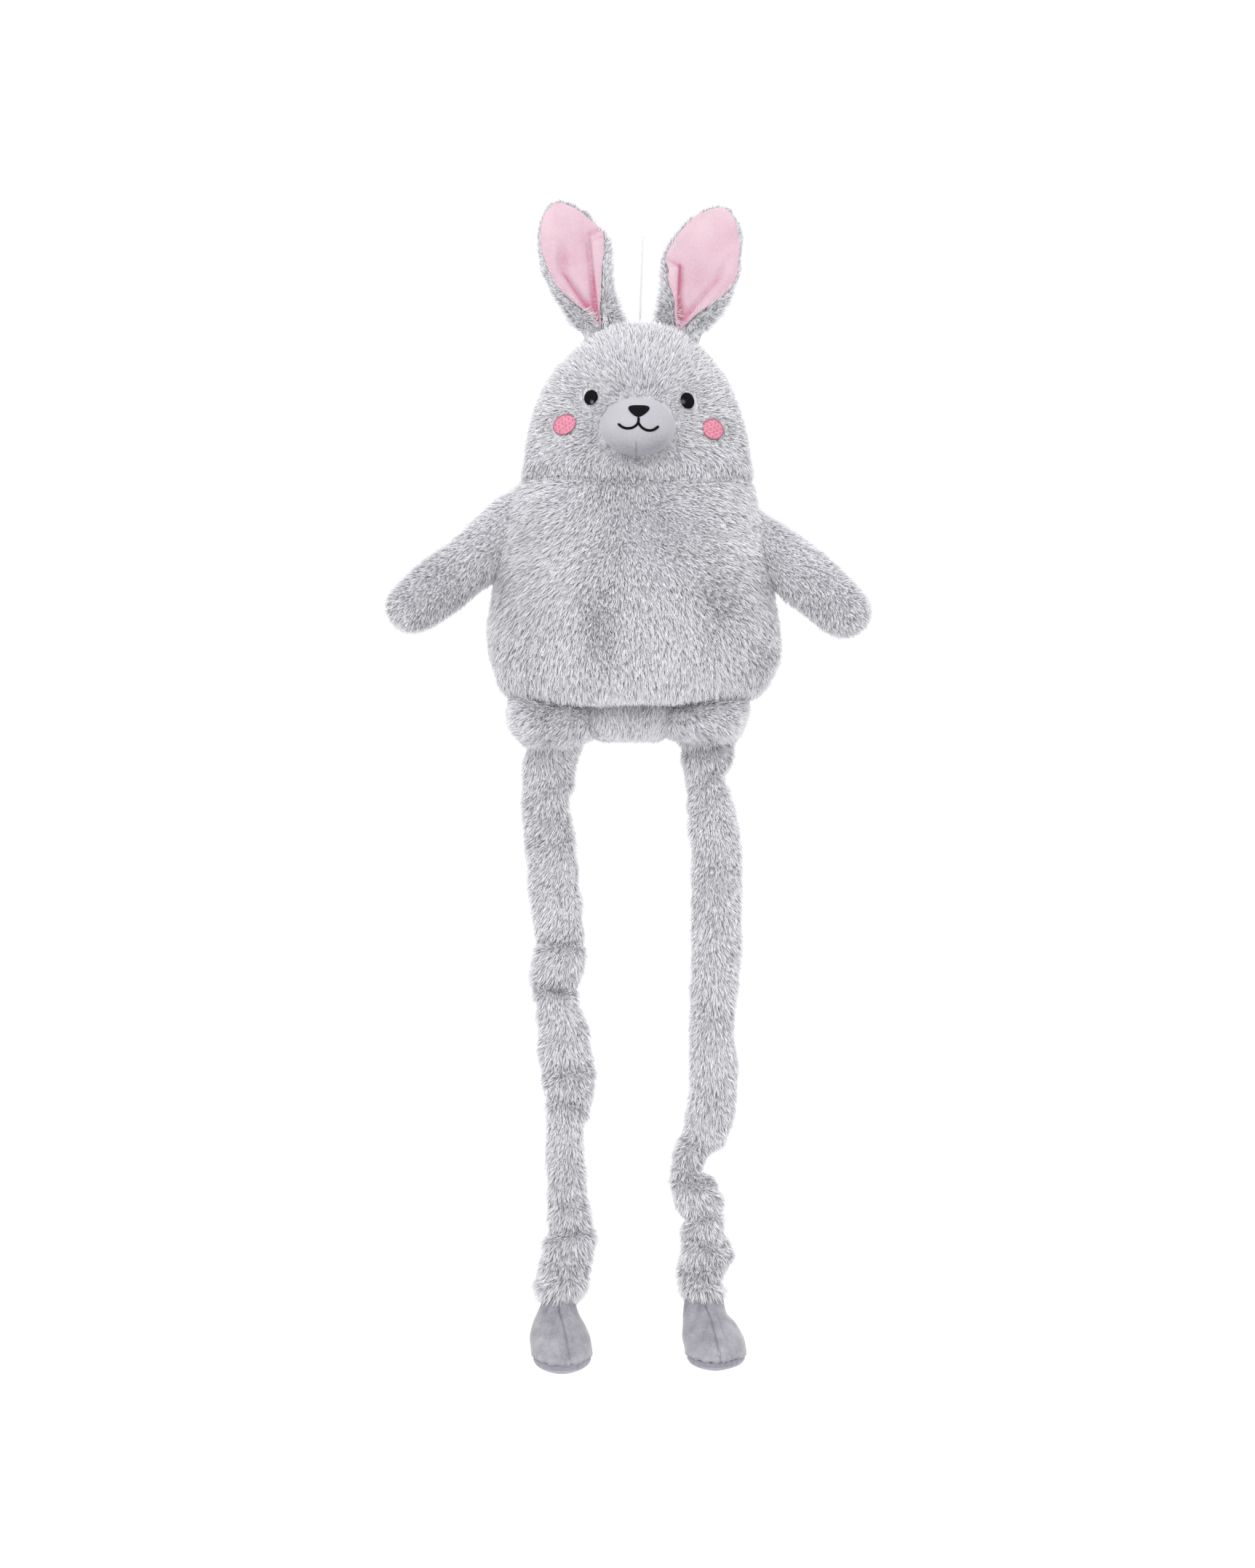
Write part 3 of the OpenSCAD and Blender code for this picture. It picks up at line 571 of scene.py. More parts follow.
def build_head():
    R = HR.copy()
    g = ring_grid(R, 224)
    last = g[-1]
    under = []
    for s in (0.92, 0.75, 0.5, 0.25):
        q = last.copy()
        c = np.array([-7, 0, 0])
        q[:, 0] = c[0] + (last[:, 0] - c[0]) * s; q[:, 1] = last[:, 1] * s
        q[:, 2] = np.minimum(neck_z(q[:, 0], q[:, 1], -6), -249) - 3
        under.append(q)
    g = np.concatenate([g, np.stack(under)])
    sk = Skin(g)
    v = sk.v / MM
    outer = sk.row < len(R)
    n = noise(sk.v, 0.055, 3) * 1.6 + noise(sk.v, 0.022, 4) * 0.7
    n += -0.6 * bump(v[:, 2], -251, 5)                     # the neck seam draws in
    n += -1.6 * bump(np.abs(v[:, 1]), 0, 3.5) * smooth(-95, -110, v[:, 2])  # side seam
    front = v[:, 1] < 0
    mz = ((v[:, 0] + 5) / 42) ** 2 + ((v[:, 2] + 195) / 33) ** 2
    n += np.where(front, -1.5 * bump(np.sqrt(mz), 1.05, 0.16), 0)
    for ex, ez, *_ in EYES:
        r = np.hypot((v[:, 0] - ex), (v[:, 2] - ez))
        n += np.where(front, -1.2 * bump(r, 0, 8), 0)
    for ex, ez, *_ in CHEEKS:
        r = np.hypot((v[:, 0] - ex), (v[:, 2] - ez))
        n += np.where(front, -1.2 * bump(r, 0, 13), 0)
    sk.push(np.where(outer, n, 0) * MM)

    def field(P, N):
        x, y, z = (P / MM).T
        front = y < 0
        # nap: from the muzzle outwards on the face, up and out on the crown, down behind
        c = np.stack([x + 5, 0 * x, z + 188], 1)
        r = np.linalg.norm(c, axis=1)[:, None]
        radial = c / np.maximum(r, 1)
        radial[:, 2] *= np.where(radial[:, 2] > 0, 0.9, 1.0)
        crown = np.stack([0.15 * x / 60, np.where(front, -0.5, 0.6), 0 * z + 0.35], 1)
        down = np.tile(DOWN, (len(P), 1)) + np.stack([x * 0.004, 0 * x, 0 * x], 1)
        f = (front * 1.0)[:, None]
        w_c = (smooth(-135, -105, z) * (1 - front))[:, None]
        nap = f * radial + (1 - f) * down
        nap = nap * (1 - w_c) + crown * w_c
        wob = np.stack([noise(P, 0.035, 11), noise(P, 0.035, 12), noise(P, 0.035, 13)], 1)
        nap = nap + (0.16 + 0.2 * smooth(-190, -230, z))[:, None] * wob
        below = smooth(-224, -240, z)[:, None] * f
        nap = nap * (1 - below) + below * (DOWN + 0.5 * wob)
        L = 0.0080 + 0.0009 * noise(P, 0.03, 14)
        L = L * (1 - 0.12 * bump(z, -249, 7))
        mz = np.sqrt(((x + 5) / 38.9) ** 2 + ((z + 198.2) / 30.8) ** 2)
        keep = np.where(front & (mz < 0.97), 0.0, 1.0)
        L = np.where(front, L * (0.50 + 0.50 * smooth(0.98, 1.3, mz)), L)
        chin = smooth(-222, -250, z) * bump(x, -5, 75) * front
        # painted shade and light: the pile is drawn darker along the neck seam and on the lower sides of the head, and
        # a little lighter on the front of the crown
        seam = bump(z, -250, 4.5)
        tone = 0.742 + 0.04 * noise(P, 0.05, 15) + 0.09 * chin + 0.05 * smooth(-112, -94, z) * front - 0.10 * seam * (0.7 + 0.6 * noise(P, 0.03, 17)) - 0.05 * smooth(70, 105, np.abs(x + 6)) * smooth(-150, -190, z)
        vary = 0.19 + 0.07 * smooth(-150, -200, z) + 0.26 * chin + 0.15 * seam
        for ex, ez, a, b, t in EYES + CHEEKS:
            ct, st_ = math.cos(math.radians(t)), math.sin(math.radians(t))
            u, w = (x - ex) * ct + (z - ez) * st_, -(x - ex) * st_ + (z - ez) * ct
            q = np.sqrt((u / a) ** 2 + (w / b) ** 2)
            lash = 1.0 if a > 9 else 1.25
            keep = np.where(front & (q < lash), 0.0, keep)
            L = np.where(front, L * (0.38 + 0.62 * smooth(0.95, 2.6 if a < 9 else 1.8, q)), L)
        lift = 0.66 + 0.1 * noise(P, 0.03, 16) + 0.3 * chin
        return {"nap": nap, "len": L, "lift": lift, "tone": tone, "keep": keep, "vary": vary}

    w = np.where(outer, 1.0, 0.0)
    w = w * (sk.row < len(R))
    core("head_filling", sk, 0.0065, "head_stuffing", body="head")
    ob = furry("head_fur", sk, field, 101, weight=w, clump=0.0016, wild=0.26, relief=0.0007)
    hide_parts("head_front_panel", "head_back_panel")
    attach(ob, "head")
    return ob


# ---------------------------------------------------------------- body
BODY = [[-243, -7, 106, 68], [-246, -7, 110.5, 71.5], [-250, -7, 115.5, 75.2], [-256, -8, 121, 77.2], [-266, -9, 125, 78], [-285, -10, 131, 79.5, -0.5], [-315, -10, 137, 82, -1], [-345, -10, 142, 84.5, -2], [-375, -10, 146, 86.5, -2.5],
        [-400, -10, 148.5, 87.5, -3], [-425, -10, 147, 87, -3], [-445, -10, 142, 84, -2.5], [-460, -11, 135, 78, -1], [-470, -12, 124, 71], [-476, -12, 104, 58], [-478.5, -12, 64, 34], [-479, -12, 14, 8]]


def build_body():
    R = spread(inset(BODY, BASE), 120)
    g = ring_grid(R, 256, 2.05)
    first = g[0]
    under = []
    for s in (0.25, 0.5, 0.75, 0.92):
        q = first.copy()
        q[:, 0] = -7 + (first[:, 0] + 7) * s; q[:, 1] = first[:, 1] * s
        q[:, 2] = np.minimum(neck_z(q[:, 0], q[:, 1], 3), -245)
        under.append(q)
    k0 = len(under)
    g = np.concatenate([np.stack(under), g])
    sk = Skin(g)
    v = sk.v / MM
    outer = (sk.row >= k0) & (sk.row < len(g) - 1)
    x, y, z = v.T
    n = noise(sk.v, 0.075, 31) * 2.4 + noise(sk.v, 0.028, 32) * 0.9
    n += -1.6 * bump(np.abs(y), 0, 3.5) * smooth(-350, -370, z)
    # the side is drawn in under each arm
    for sx, az in ((-143, -356), (126, -356)):
        n += -2.6 * bump(np.hypot(x - sx, (z - az) * 0.45), 0, 16)
    n += np.where(y < 0, 3.0 * bump(z, -452, 24), 0) * bump(x, -10, 110)   # belly sags over the hips
    sk.push(np.where(outer, n, 0) * MM)

    def field(P, N):
        x, y, z = (P / MM).T
        front = (y < 0)
        wob = np.stack([noise(P, 0.045, 41), noise(P, 0.045, 42), noise(P, 0.045, 43)], 1)
        # the chest pile stands and fans out, the left side sweeps down and out, the belly pile lies down
        out = np.stack([(x + 6) / 105.0, 0 * x, -0.80 + 0 * x], 1)
        # painted shade where each arm meets the side
        armpit_shade = np.maximum(bump(np.hypot(x + 140, (z + 352) * 0.42), 0, 13), bump(np.hypot(x - 123, (z + 352) * 0.42), 0, 13))
        w = smooth(-330, -420, z)[:, None]
        nap = (out * (1 - w) + (DOWN + 0.22 * out) * w)
        chest = np.maximum(bump(z, -290, 62) * bump(x, 22, 75), 0.8 * bump(z, -262, 22) * bump(x, -20, 80)) * front
        low = bump(z, -395, 46) * bump(x, -44, 20) * front
        low = np.maximum(low, 0.7 * bump(z, -380, 50) * bump(x, 75, 26) * front)
        low = np.maximum(low, 0.75 * bump(z, -425, 22) * bump(x, 118, 20) * front)
        nap = nap + (0.28 + 0.4 * chest + 0.2 * low)[:, None] * wob
        lift = 0.58 + 0.62 * chest + 0.55 * low + 0.1 * noise(P, 0.03, 44)
        seam = bump(z, -248, 4.5)
        L = (0.0094 + 0.0012 * noise(P, 0.03, 45)) * (1 - 0.12 * bump(z, -249, 7))
        side = smooth(60, 115, np.abs(x + 8))
        # painted shade: the pile is drawn darker towards the sides, under each arm and along the neck seam
        tone = 0.825 + 0.05 * noise(P, 0.06, 46) + 0.22 * chest - 0.05 * low - 0.09 * side - 0.22 * armpit_shade - 0.11 * seam * (0.7 + 0.6 * noise(P, 0.03, 47))
        vary = 0.25 + 0.40 * chest + 0.38 * low + 0.15 * seam
        return {"nap": nap, "len": L * (1 - 0.18 * chest - 0.15 * low), "lift": lift, "tone": tone, "keep": 1.0, "vary": vary, "tight": 0.75 + 0.25 * chest + 0.2 * low}

    core("body_filling", sk, 0.0065, "body_stuffing", like=("head", "torso", (0, 0, -0.247), (0, 0, -0.315)))
    ob = furry("body_fur", sk, field, 102, weight=np.where(outer, 1.0, 0.0), clump=0.0018, wild=0.26, relief=0.0008)
    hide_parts("body_front_panel", "body_back_panel")
    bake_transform(ob)
    return ob


def pad_piece(name, st, seed, body, rep, e=2.4, nap=(0, 0, -1), tone=0.85, lift=0.8, L=0.0092, n=(56, 160), shape=None, base=BASE, clump=0.0022, vary=0.2, top=0.0):
    R = spread(inset(st, base), n[0])
    sk = Skin(ring_grid(R, n[1], e))
    v = sk.v / MM
    d = noise(sk.v, 0.03, seed) * 1.8 + noise(sk.v, 0.014, seed + 1) * 0.8
    if shape is not None:
        d = d + shape(*v.T)
    sk.push(d * MM)

    def field(P, N):
        wob = np.stack([noise(P, 0.03, seed + 2), noise(P, 0.03, seed + 3), noise(P, 0.03, seed + 4)], 1)
        return {"nap": np.array(nap) + 0.5 * wob, "len": L + 0.0012 * noise(P, 0.02, seed + 5), "lift": lift + 0.12 * noise(P, 0.025, seed + 6),
                # top is painted shade: the tone is drawn darker along the top edge, under the belly's overhang
                "tone": tone + 0.07 * noise(P, 0.03, seed + 7) - top * smooth(-480, -468, P[:, 2] / MM), "keep": 1.0, "vary": vary}
    ob = furry(name, sk, field, seed, clump=clump, wild=0.24, relief=0.0009)
    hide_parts(*rep)
    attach(ob, body)
    return ob


def rows_to_stations(rows):
    """[z, left edge px, right edge px, half depth] (edges in the drawing's own units) as stations in mm."""
    return [[z, ((l + r) / 2 - 884) * 0.74, (r - l) / 2 * 0.74, d] for z, l, r, d in rows]


def build_hips():
    # top: painted shade under the belly's overhang along the top of the seat and hips
    pad_piece("seat_fur", rows_to_stations([[-456, 800, 930, 45], [-466, 796, 934, 49], [-480, 795, 936, 51], [-492, 798, 932, 51], [-502, 806, 922, 48], [-509, 816, 912, 42], [-513, 829, 900, 33], [-515, 848, 882, 16]]),
              201, "torso", ["seat_panel"], top=0.18, tone=0.765, lift=0.40, nap=(0, -0.3, -1), e=4.0, vary=0.1)
    band = lambda x, y, z: -1.5 * bump(z, -517, 3) + 0.9 * np.sin(x * 0.23 + 1.0) * bump(z, -500, 18)
    pad_piece("hip_left_fur", rows_to_stations([[-456, 722, 812, 28], [-464, 708, 822, 37], [-474, 699, 827, 49], [-485, 696, 829, 56], [-497, 699, 828, 57], [-505, 704, 824, 53], [-511, 711, 817, 46], [-517, 720, 806, 36], [-523, 730, 796, 24], [-526, 745, 780, 10]]),
              202, "torso", ["hip_left"], base=7.0, top=0.28, tone=0.845, lift=0.95, nap=(-0.7, -0.1, -0.8), e=3.2, shape=band, vary=0.34)
    pad_piece("hip_right_fur", rows_to_stations([[-456, 920, 1004, 28], [-464, 908, 1018, 37], [-474, 901, 1026, 49], [-485, 899, 1028, 56], [-494, 901, 1027, 57], [-502, 906, 1024, 53], [-508, 915, 1018, 46], [-512, 926, 1010, 36], [-515, 938, 1002, 24], [-516.5, 955, 990, 10]]),
              203, "torso", ["hip_right"], base=7.0, top=0.22, tone=0.85, lift=1.0, nap=(0.7, -0.1, -0.8), e=3.2, shape=band, vary=0.38)


# ---------------------------------------------------------------- arms
def build_arm(name, pivot, deg, length, seed, nodes, body, sgn):
    """Local frame: the arm points down, then it is turned up by deg about Y."""
    tail = [[-length, 0, 28, 25], [-length - 12, 0, 25.5, 23], [-length - 20, 0, 20, 18], [-length - 25.5, 0, 12, 11], [-length - 28, 0, 4, 4]]
    if sgn < 0:
        R = [[104, -4, 10, 12], [100, -4, 20, 22], [90, -3, 27, 28], [74, -1, 31, 30], [56, 0, 33, 30], [35, 0.6, 33, 29], [12, 1.8, 31.6, 28], [-12, 2.2, 30.4, 27], [-0.40 * length, 1.2, 30.6, 26.5], [-0.70 * length, 0.3, 30, 25.5]] + tail
    else:
        R = [[104, 4, 10, 12], [100, 4, 18, 22], [90, 4.5, 22, 26], [74, 5, 25.5, 28], [56, 4.6, 28, 29], [35, 3.8, 29.6, 29], [12, 3, 30.2, 28], [-12, 1.4, 31.4, 27], [-0.40 * length, 0.3, 31.4, 26.5], [-0.70 * length, 0, 30, 25.5]] + tail
    R = spread(inset(R, BASE), 100)
    R[:, 1] *= -sgn
    g = ring_grid(R, 128, 2.1)
    a = math.radians(deg)
    rot = np.array([[math.cos(a), 0, math.sin(a)], [0, 1, 0], [-math.sin(a), 0, math.cos(a)]])
    g = g @ rot.T + np.array(pivot)
    sk = Skin(g)
    axis = rot @ np.array([0, 0, -1.0])
    v = sk.v / MM
    q = (v - np.array(pivot)) @ axis
    n = noise(sk.v, 0.04, seed) * 2.0 + noise(sk.v, 0.018, seed + 1) * 0.8
    n += -1.2 * bump(v[:, 1], 0, 3.5) * smooth(-10, 10, q)
    sk.push(n * MM)

    def field(P, N):
        p = P / MM
        q = (p - np.array(pivot)) @ axis
        wob = np.stack([noise(P, 0.03, seed + 2), noise(P, 0.03, seed + 3), noise(P, 0.03, seed + 4)], 1)
        nap = axis * 0.9 + np.array([0, 0, -0.35]) + 0.5 * wob
        # painted shade: the pile is drawn darker towards the hand, on the left arm much more than on the right
        tone = 0.85 + 0.07 * noise(P, 0.04, seed + 5) - (0.13 if sgn < 0 else 0.03) * smooth(0, 60, q)
        return {"nap": nap, "len": 0.0074 + 0.0010 * noise(P, 0.025, seed + 6), "lift": 0.80 + 0.12 * noise(P, 0.03, seed + 7) + 0.2 * smooth(0, 50, q), "tone": tone, "keep": 1.0, "vary": 0.24 + 0.16 * smooth(0, 50, q)}

    w = np.where(q > -80, 1.0, 0.0)
    p0 = np.array(pivot) - axis * 28; p1 = np.array(pivot) + axis * 14
    core(name + "_filling", sk, 0.0055, body + "_stuffing", like=("torso", body, tuple(p0 * MM), tuple(p1 * MM)))
    ob = furry(name, sk, field, seed, weight=w, clump=0.0022, wild=0.24, relief=0.0009)
    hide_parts(*nodes)
    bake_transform(ob)
    return ob


# ---------------------------------------------------------------- ears
# [z, inner or left edge, right edge] of the pile's outline, and of the lining, in mm
EARS = {
    "left": ([[35.2, -88, -84], [33.0, -95, -75], [30.0, -98.5, -66], [26.5, -101, -60], [22.2, -102.5, -53], [13.3, -105.5, -47], [4.4, -107.2, -36.5], [-4.4, -107.8, -31], [-13.3, -107.8, -29.6],
              [-22.2, -106.4, -28.9], [-31.1, -105, -28.9], [-40, -102, -28.9], [-48.8, -97.7, -28.2], [-57.7, -94, -27.4], [-66.6, -86.6, -25.5], [-75.5, -80.5, -23], [-84.4, -74.7, -19.5], [-93.2, -68.8, -15], [-102, -64, -12], [-110, -60, -12]],
             [[33.6, -88, -83.5], [31.5, -92, -77.5], [28, -95.2, -70], [22.2, -100, -61], [17.8, -102, -56.2], [8.9, -104, -45.5], [0, -105, -40], [-8.9, -104.6, -39.6], [-17.8, -102.8, -39.8], [-26.6, -99.4, -41],
              [-35.5, -96.6, -41.8], [-44.4, -92, -42], [-53.3, -87, -42.6], [-62.2, -78.6, -42.8], [-71, -68.4, -43.8], [-80, -56.4, -43.8], [-88.8, -49.6, -42.6], [-95, -44.4, -42.6]]),
    "right": ([[29.8, 76, 82], [28.2, 68, 87.5], [26, 60, 90], [22.2, 52.5, 91.8], [13.3, 40.7, 97.7], [4.4, 33.3, 100.6], [-4.4, 26.6, 102.1], [-13.3, 20, 101.4], [-22.2, 16.3, 100.6], [-31.1, 14.1, 100.6],
               [-40, 14.1, 99.2], [-48.8, 14.8, 95.5], [-57.7, 15.5, 92.5], [-66.6, 15.5, 87.3], [-75.5, 14.1, 82.1], [-84.4, 12.6, 73.3], [-93.2, 10, 68], [-102, 7, 63], [-111, 5, 59], [-118, 5, 55]],
              [[28.6, 76, 81], [26.8, 70, 84.5], [22.2, 58, 89.5], [17.8, 50.4, 92.5], [8.9, 42.2, 95.5], [0, 34.8, 98], [-8.9, 29.6, 99.2], [-17.8, 24.4, 98.4], [-26.6, 23, 97], [-35.5, 26, 96.9],
               [-44.4, 25.4, 94], [-53.3, 27.4, 89.5], [-62.2, 30.3, 80.7], [-71, 31.8, 69.6], [-80, 31.8, 55.5], [-88.8, 32.6, 46.6], [-98, 34, 35.6]])}


def ear_y(side, x, z):
    """Middle surface of the ear, in mm: cupped, the edges coming forward, more near the base."""
    E = np.array(EARS[side][0])
    zz = -E[:, 0]
    l = np.interp(-z, zz, E[:, 1]); r = np.interp(-z, zz, E[:, 2])
    u = np.clip((x - (l + r) / 2) / ((r - l) / 2), -1.15, 1.15)
    k = np.interp(z, [-110, -70, -20, 35], [15, 13, 7, 3.5])
    return -k * np.abs(u) ** 2.2 + 3.0, u


def build_ear(side, seed):
    sg = 1 if side == "right" else -1
    E = np.array(EARS[side][0], float)
    nv, nu = 110, 112
    t = np.linspace(0, 1, nv) ** 1.35
    z = E[0, 0] + (E[-1, 0] - E[0, 0]) * t
    l = pchip(-E[:, 0], E[:, 1], -z); r = pchip(-E[:, 0], E[:, 2], -z)
    # the outer side is trimmed close, the inner side keeps a deep pile
    inl, inr = (1.6, 4.2) if sg < 0 else (4.2, 1.6)
    base_in = smooth(-20, -80, z)
    inl = inl + (4.0 - inl) * base_in; inr = inr + (4.0 - inr) * base_in
    tip = smooth(E[0, 0], E[0, 0] - 8, z)
    l = l + inl * tip; r = r - inr * tip
    half = np.maximum((r - l) / 2, 1.0); cx = (l + r) / 2
    thick = np.interp(z, [-118, -90, -50, 0, 25, E[0, 0]], [8, 8, 6, 4.6, 3.4, 1.4])
    th = np.arange(nu) / nu * TAU
    c, sn = np.cos(th), np.sin(th)
    X = cx[:, None] + (np.sign(c) * np.abs(c) ** (2 / 2.2))[None] * half[:, None]
    Z = np.repeat((z - 1.2)[:, None], nu, 1)
    mid, u = ear_y(side, X, Z)
    Y = (np.sign(sn) * np.abs(sn) ** (2 / 2.2))[None] * thick[:, None] + mid
    Lg = np.array(EARS[side][1], float)
    pl = np.interp(-Z, -Lg[:, 0], Lg[:, 1]); pr = np.interp(-Z, -Lg[:, 0], Lg[:, 2])
    under = (sn < 0)[None] * smooth(0.5, 3.5, np.minimum(X - pl, pr - X)) * (Z > Lg[-1, 0]) * (Z < Lg[0, 0])
    Y = Y + under * ((mid + 0.6) - Y)
    sk = Skin(np.stack([X, Y, Z], 2))
    sk.push(noise(sk.v, 0.02, seed) * 0.7 * MM)

    def field(P, N):
        x, y, z = (P / MM).T
        mid, u = ear_y(side, x, z)
        pl = np.interp(-z, -Lg[:, 0], Lg[:, 1]); pr = np.interp(-z, -Lg[:, 0], Lg[:, 2])
        front = (y < mid + 1.5)
        lined = front & (x > pl + 1.5) & (x < pr - 1.5) & (z > Lg[-1, 0] + 3)
        near = front & (x > pl - 5) & (x < pr + 5)
        wob = np.stack([noise(P, 0.02, seed + 2), noise(P, 0.02, seed + 3), noise(P, 0.02, seed + 4)], 1)
        low = smooth(-35, -100, z)
        up = np.array([0.32 * sg, 0, 0.95])
        # the pile stands outwards along the edges and droops over the head at the base
        nap = up * (0.75 - 0.9 * low)[:, None] + np.array([1.0, 0, 0]) * (np.sign(u) * 0.75 * smooth(0.35, 0.95, np.abs(u)))[:, None] + 0.45 * wob
        outer = (u * sg) > 0.5
        L = 0.0072 + 0.0030 * low - 0.0026 * outer * (1 - low) - 0.0016 * smooth(0, 30, z)
        L = L * (1 - 0.55 * smooth(-84, -100, z))
        # painted shade: the pile is drawn darker towards the base, where the ear meets the head
        tone = 0.84 - 0.10 * low + 0.06 * noise(P, 0.02, seed + 5)
        return {"nap": nap, "len": L, "lift": 0.70 + 0.25 * low - 0.15 * near, "tone": tone, "keep": np.where(lined, 0.0, 1.0) * (1 - smooth(-90, -100, z)), "vary": 0.14 + 0.26 * low}

    ob = furry("ear_%s_fur_pile" % side, sk, field, seed, relief=0.0006, clump=0.0022)
    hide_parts("ear_%s_fur" % side)
    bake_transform(ob)
    build_lining(side, seed + 50)
    return ob


def build_lining(side, seed):
    sg = 1 if side == "right" else -1
    E = np.array(EARS[side][0], float); Lg = np.array(EARS[side][1], float)
    nv, nu = 150, 90
    s = np.linspace(0, 1, nv)
    z = Lg[0, 0] + (Lg[-1, 0] - Lg[0, 0]) * s**1.25
    l = pchip(-Lg[:, 0], Lg[:, 1], -z); r = pchip(-Lg[:, 0], Lg[:, 2], -z)
    t = np.linspace(-1, 1, nu)
    T = np.repeat(t[None], nv, 0)
    X = (l + r)[:, None] / 2 + T * (r - l)[:, None] / 2
    Z = np.repeat(z[:, None], nu, 1)
    el = np.interp(-z, -E[:, 0], E[:, 1])[:, None]; er = np.interp(-z, -E[:, 0], E[:, 2])[:, None]
    mid, u = ear_y(side, X, Z)
    thick = np.interp(z, [-118, -90, -50, 0, 25, E[0, 0]], [8, 8, 6, 4.6, 3.4, 1.4])[:, None]
    w = np.clip(np.abs(X - (el + er) / 2) / ((er - el) / 2 - 2.0), 0, 1)
    Y = mid - thick * np.maximum(0, 1 - w**2.2) ** (1 / 2.2) - 1.0 - 1.5 * (1 - T**8)
    # dark is painted shade and light for the velour: darker in the folds and valleys, lighter on the raised flaps
    dark = np.zeros_like(Y)
    if sg < 0:
        # a flap laps over along the inner edge, and a soft valley runs down the outer half
        cz = [20, 8, -6, -20, -56, -85]
        cxs = [-58, -55, -53.5, -52, -48.5, -45.5]
        cr = np.interp(-Z, [-q for q in cz], cxs)
        on = smooth(4, -12, Z) * smooth(-93, -84, Z)
        d = X - cr
        deepen = 0.45 + 0.55 * smooth(-25, -60, Z)
        Y = Y - on * 2.8 * smooth(-0.6, 1.0, d) * smooth(16, 6, d) + on * 2.2 * bump(d, -2.6, 2.8)
        dark += on * deepen * (0.85 * bump(d, -0.9, 1.7) + 0.50 * bump(d, -4, 5)) - 0.18 * on * smooth(0.2, 1.6, d)
        # the corner where the flap turns over
        k_ = Z - (-1.2 + 0.37 * (X + 56.5))
        cor = smooth(-59, -54, X) * smooth(-38, -43, X)
        Y = Y - 1.5 * cor * bump(k_, -3.2, 3.0) + 1.2 * cor * bump(k_, 1.8, 2.2)
        dark += 0.45 * cor * bump(k_, 1.0, 1.9) + 0.22 * smooth(-66, -50, X) * bump(k_, 3, 6) * smooth(-34, -44, X)
        cr2 = np.interp(-Z, [0, 17, 34, 40, 60, 87], [-84.5, -83, -82, -80.5, -67, -48.5])
        on2 = smooth(0, -22, Z) * smooth(-92, -75, Z)
        d2 = X - cr2
        low2 = smooth(-30, -44, Z)
        Y = Y + on2 * (2.4 * bump(d2, 0, 5.0 - 1.6 * low2) - 1.2 * bump(d2, 9, 5) - 1.2 * bump(d2, -7, 4.5))
        dark += on2 * ((0.30 + 0.15 * low2) * bump(d2, 1.5, 5.0) + 0.75 * low2 * bump(d2, -0.2, 1.7))
    else:
        # the inner edge tucks under the pile from a short fold down, with a valley beside it
        cr = np.interp(-Z, [10, 30, 45, 60, 98], [38, 37, 36.2, 35.6, 36.2])
        on = smooth(-25, -40, Z) * smooth(-98, -84, Z)
        d = X - cr
        Y = Y + on * (2.8 * bump(d, 1.2, 2.8) - 1.2 * bump(d, 9, 5) - 2.2 * smooth(1.0, -0.8, d))
        dark += on * (1.15 * bump(d, 0.5, 1.5) + 0.5 * bump(d, 2.6, 4.5)) - 0.1 * on * smooth(-0.5, -2, d)
        fold = smooth(20, 36, X) * smooth(46, 38, X) * bump(Z, -25.5 - 0.5 * (X - 24), 2.2)
        Y = Y - 1.8 * smooth(20, 30, X) * smooth(48, 34, X) * bump(Z, -21 - 0.5 * (X - 24), 4.5)
        dark += 0.95 * fold * (X < 39) + 0.25 * smooth(20, 26, X) * smooth(50, 38, X) * bump(Z, -21 - 0.5 * (X - 24), 5)
        cr2 = np.interp(-Z, [20, 45, 62, 86], [84, 76, 62, 42])
        on2 = smooth(-18, -40, Z) * smooth(-92, -78, Z)
        d2 = X - cr2
        Y = Y + on2 * (2.0 * bump(d2, 0, 5) - 1.4 * bump(d2, 9, 5))
        dark += on2 * (0.40 * bump(d2, -0.5, 4) + 0.30 * smooth(-40, -52, Z) * bump(d2, 0.8, 1.5)) - 0.15 * on2 * bump(d2, 8, 6)
    soft = noise(np.stack([X, Y, Z], 2).reshape(-1, 3) * MM, 0.02, seed).reshape(Y.shape)
    Y = Y + 0.9 * soft
    # painted shade and light: darker towards the base and down the middle, lighter towards the tip, and darker where
    # the surface sinks back
    dark = 0.80 * dark + 0.30 * smooth(-25, -90, Z) + 0.16 * soft - 0.20 * smooth(-5, 30, Z) + 0.10 * bump(T, 0.2 * sg, 0.55)
    P = np.stack([X, Y, Z], 2).reshape(-1, 3)
    a = np.arange(nv * nu).reshape(nv, nu)
    quads = np.stack([a[:-1, :-1], a[1:, :-1], a[1:, 1:], a[:-1, 1:]], 2).reshape(-1, 4)
    ob = mesh("ear_%s_velour" % side, P * MM, quads, None, [M_LINING])
    at = ob.data.attributes.new("crease", "FLOAT", "POINT")
    at.data.foreach_set("value", np.clip(dark, -0.5, 1.1).astype(np.float32).ravel())
    m = ob.modifiers.new("cloth", "SOLIDIFY"); m.thickness = 0.0012; m.offset = -1
    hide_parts("ear_%s_lining" % side)
    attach(ob, "ear_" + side)
    return ob


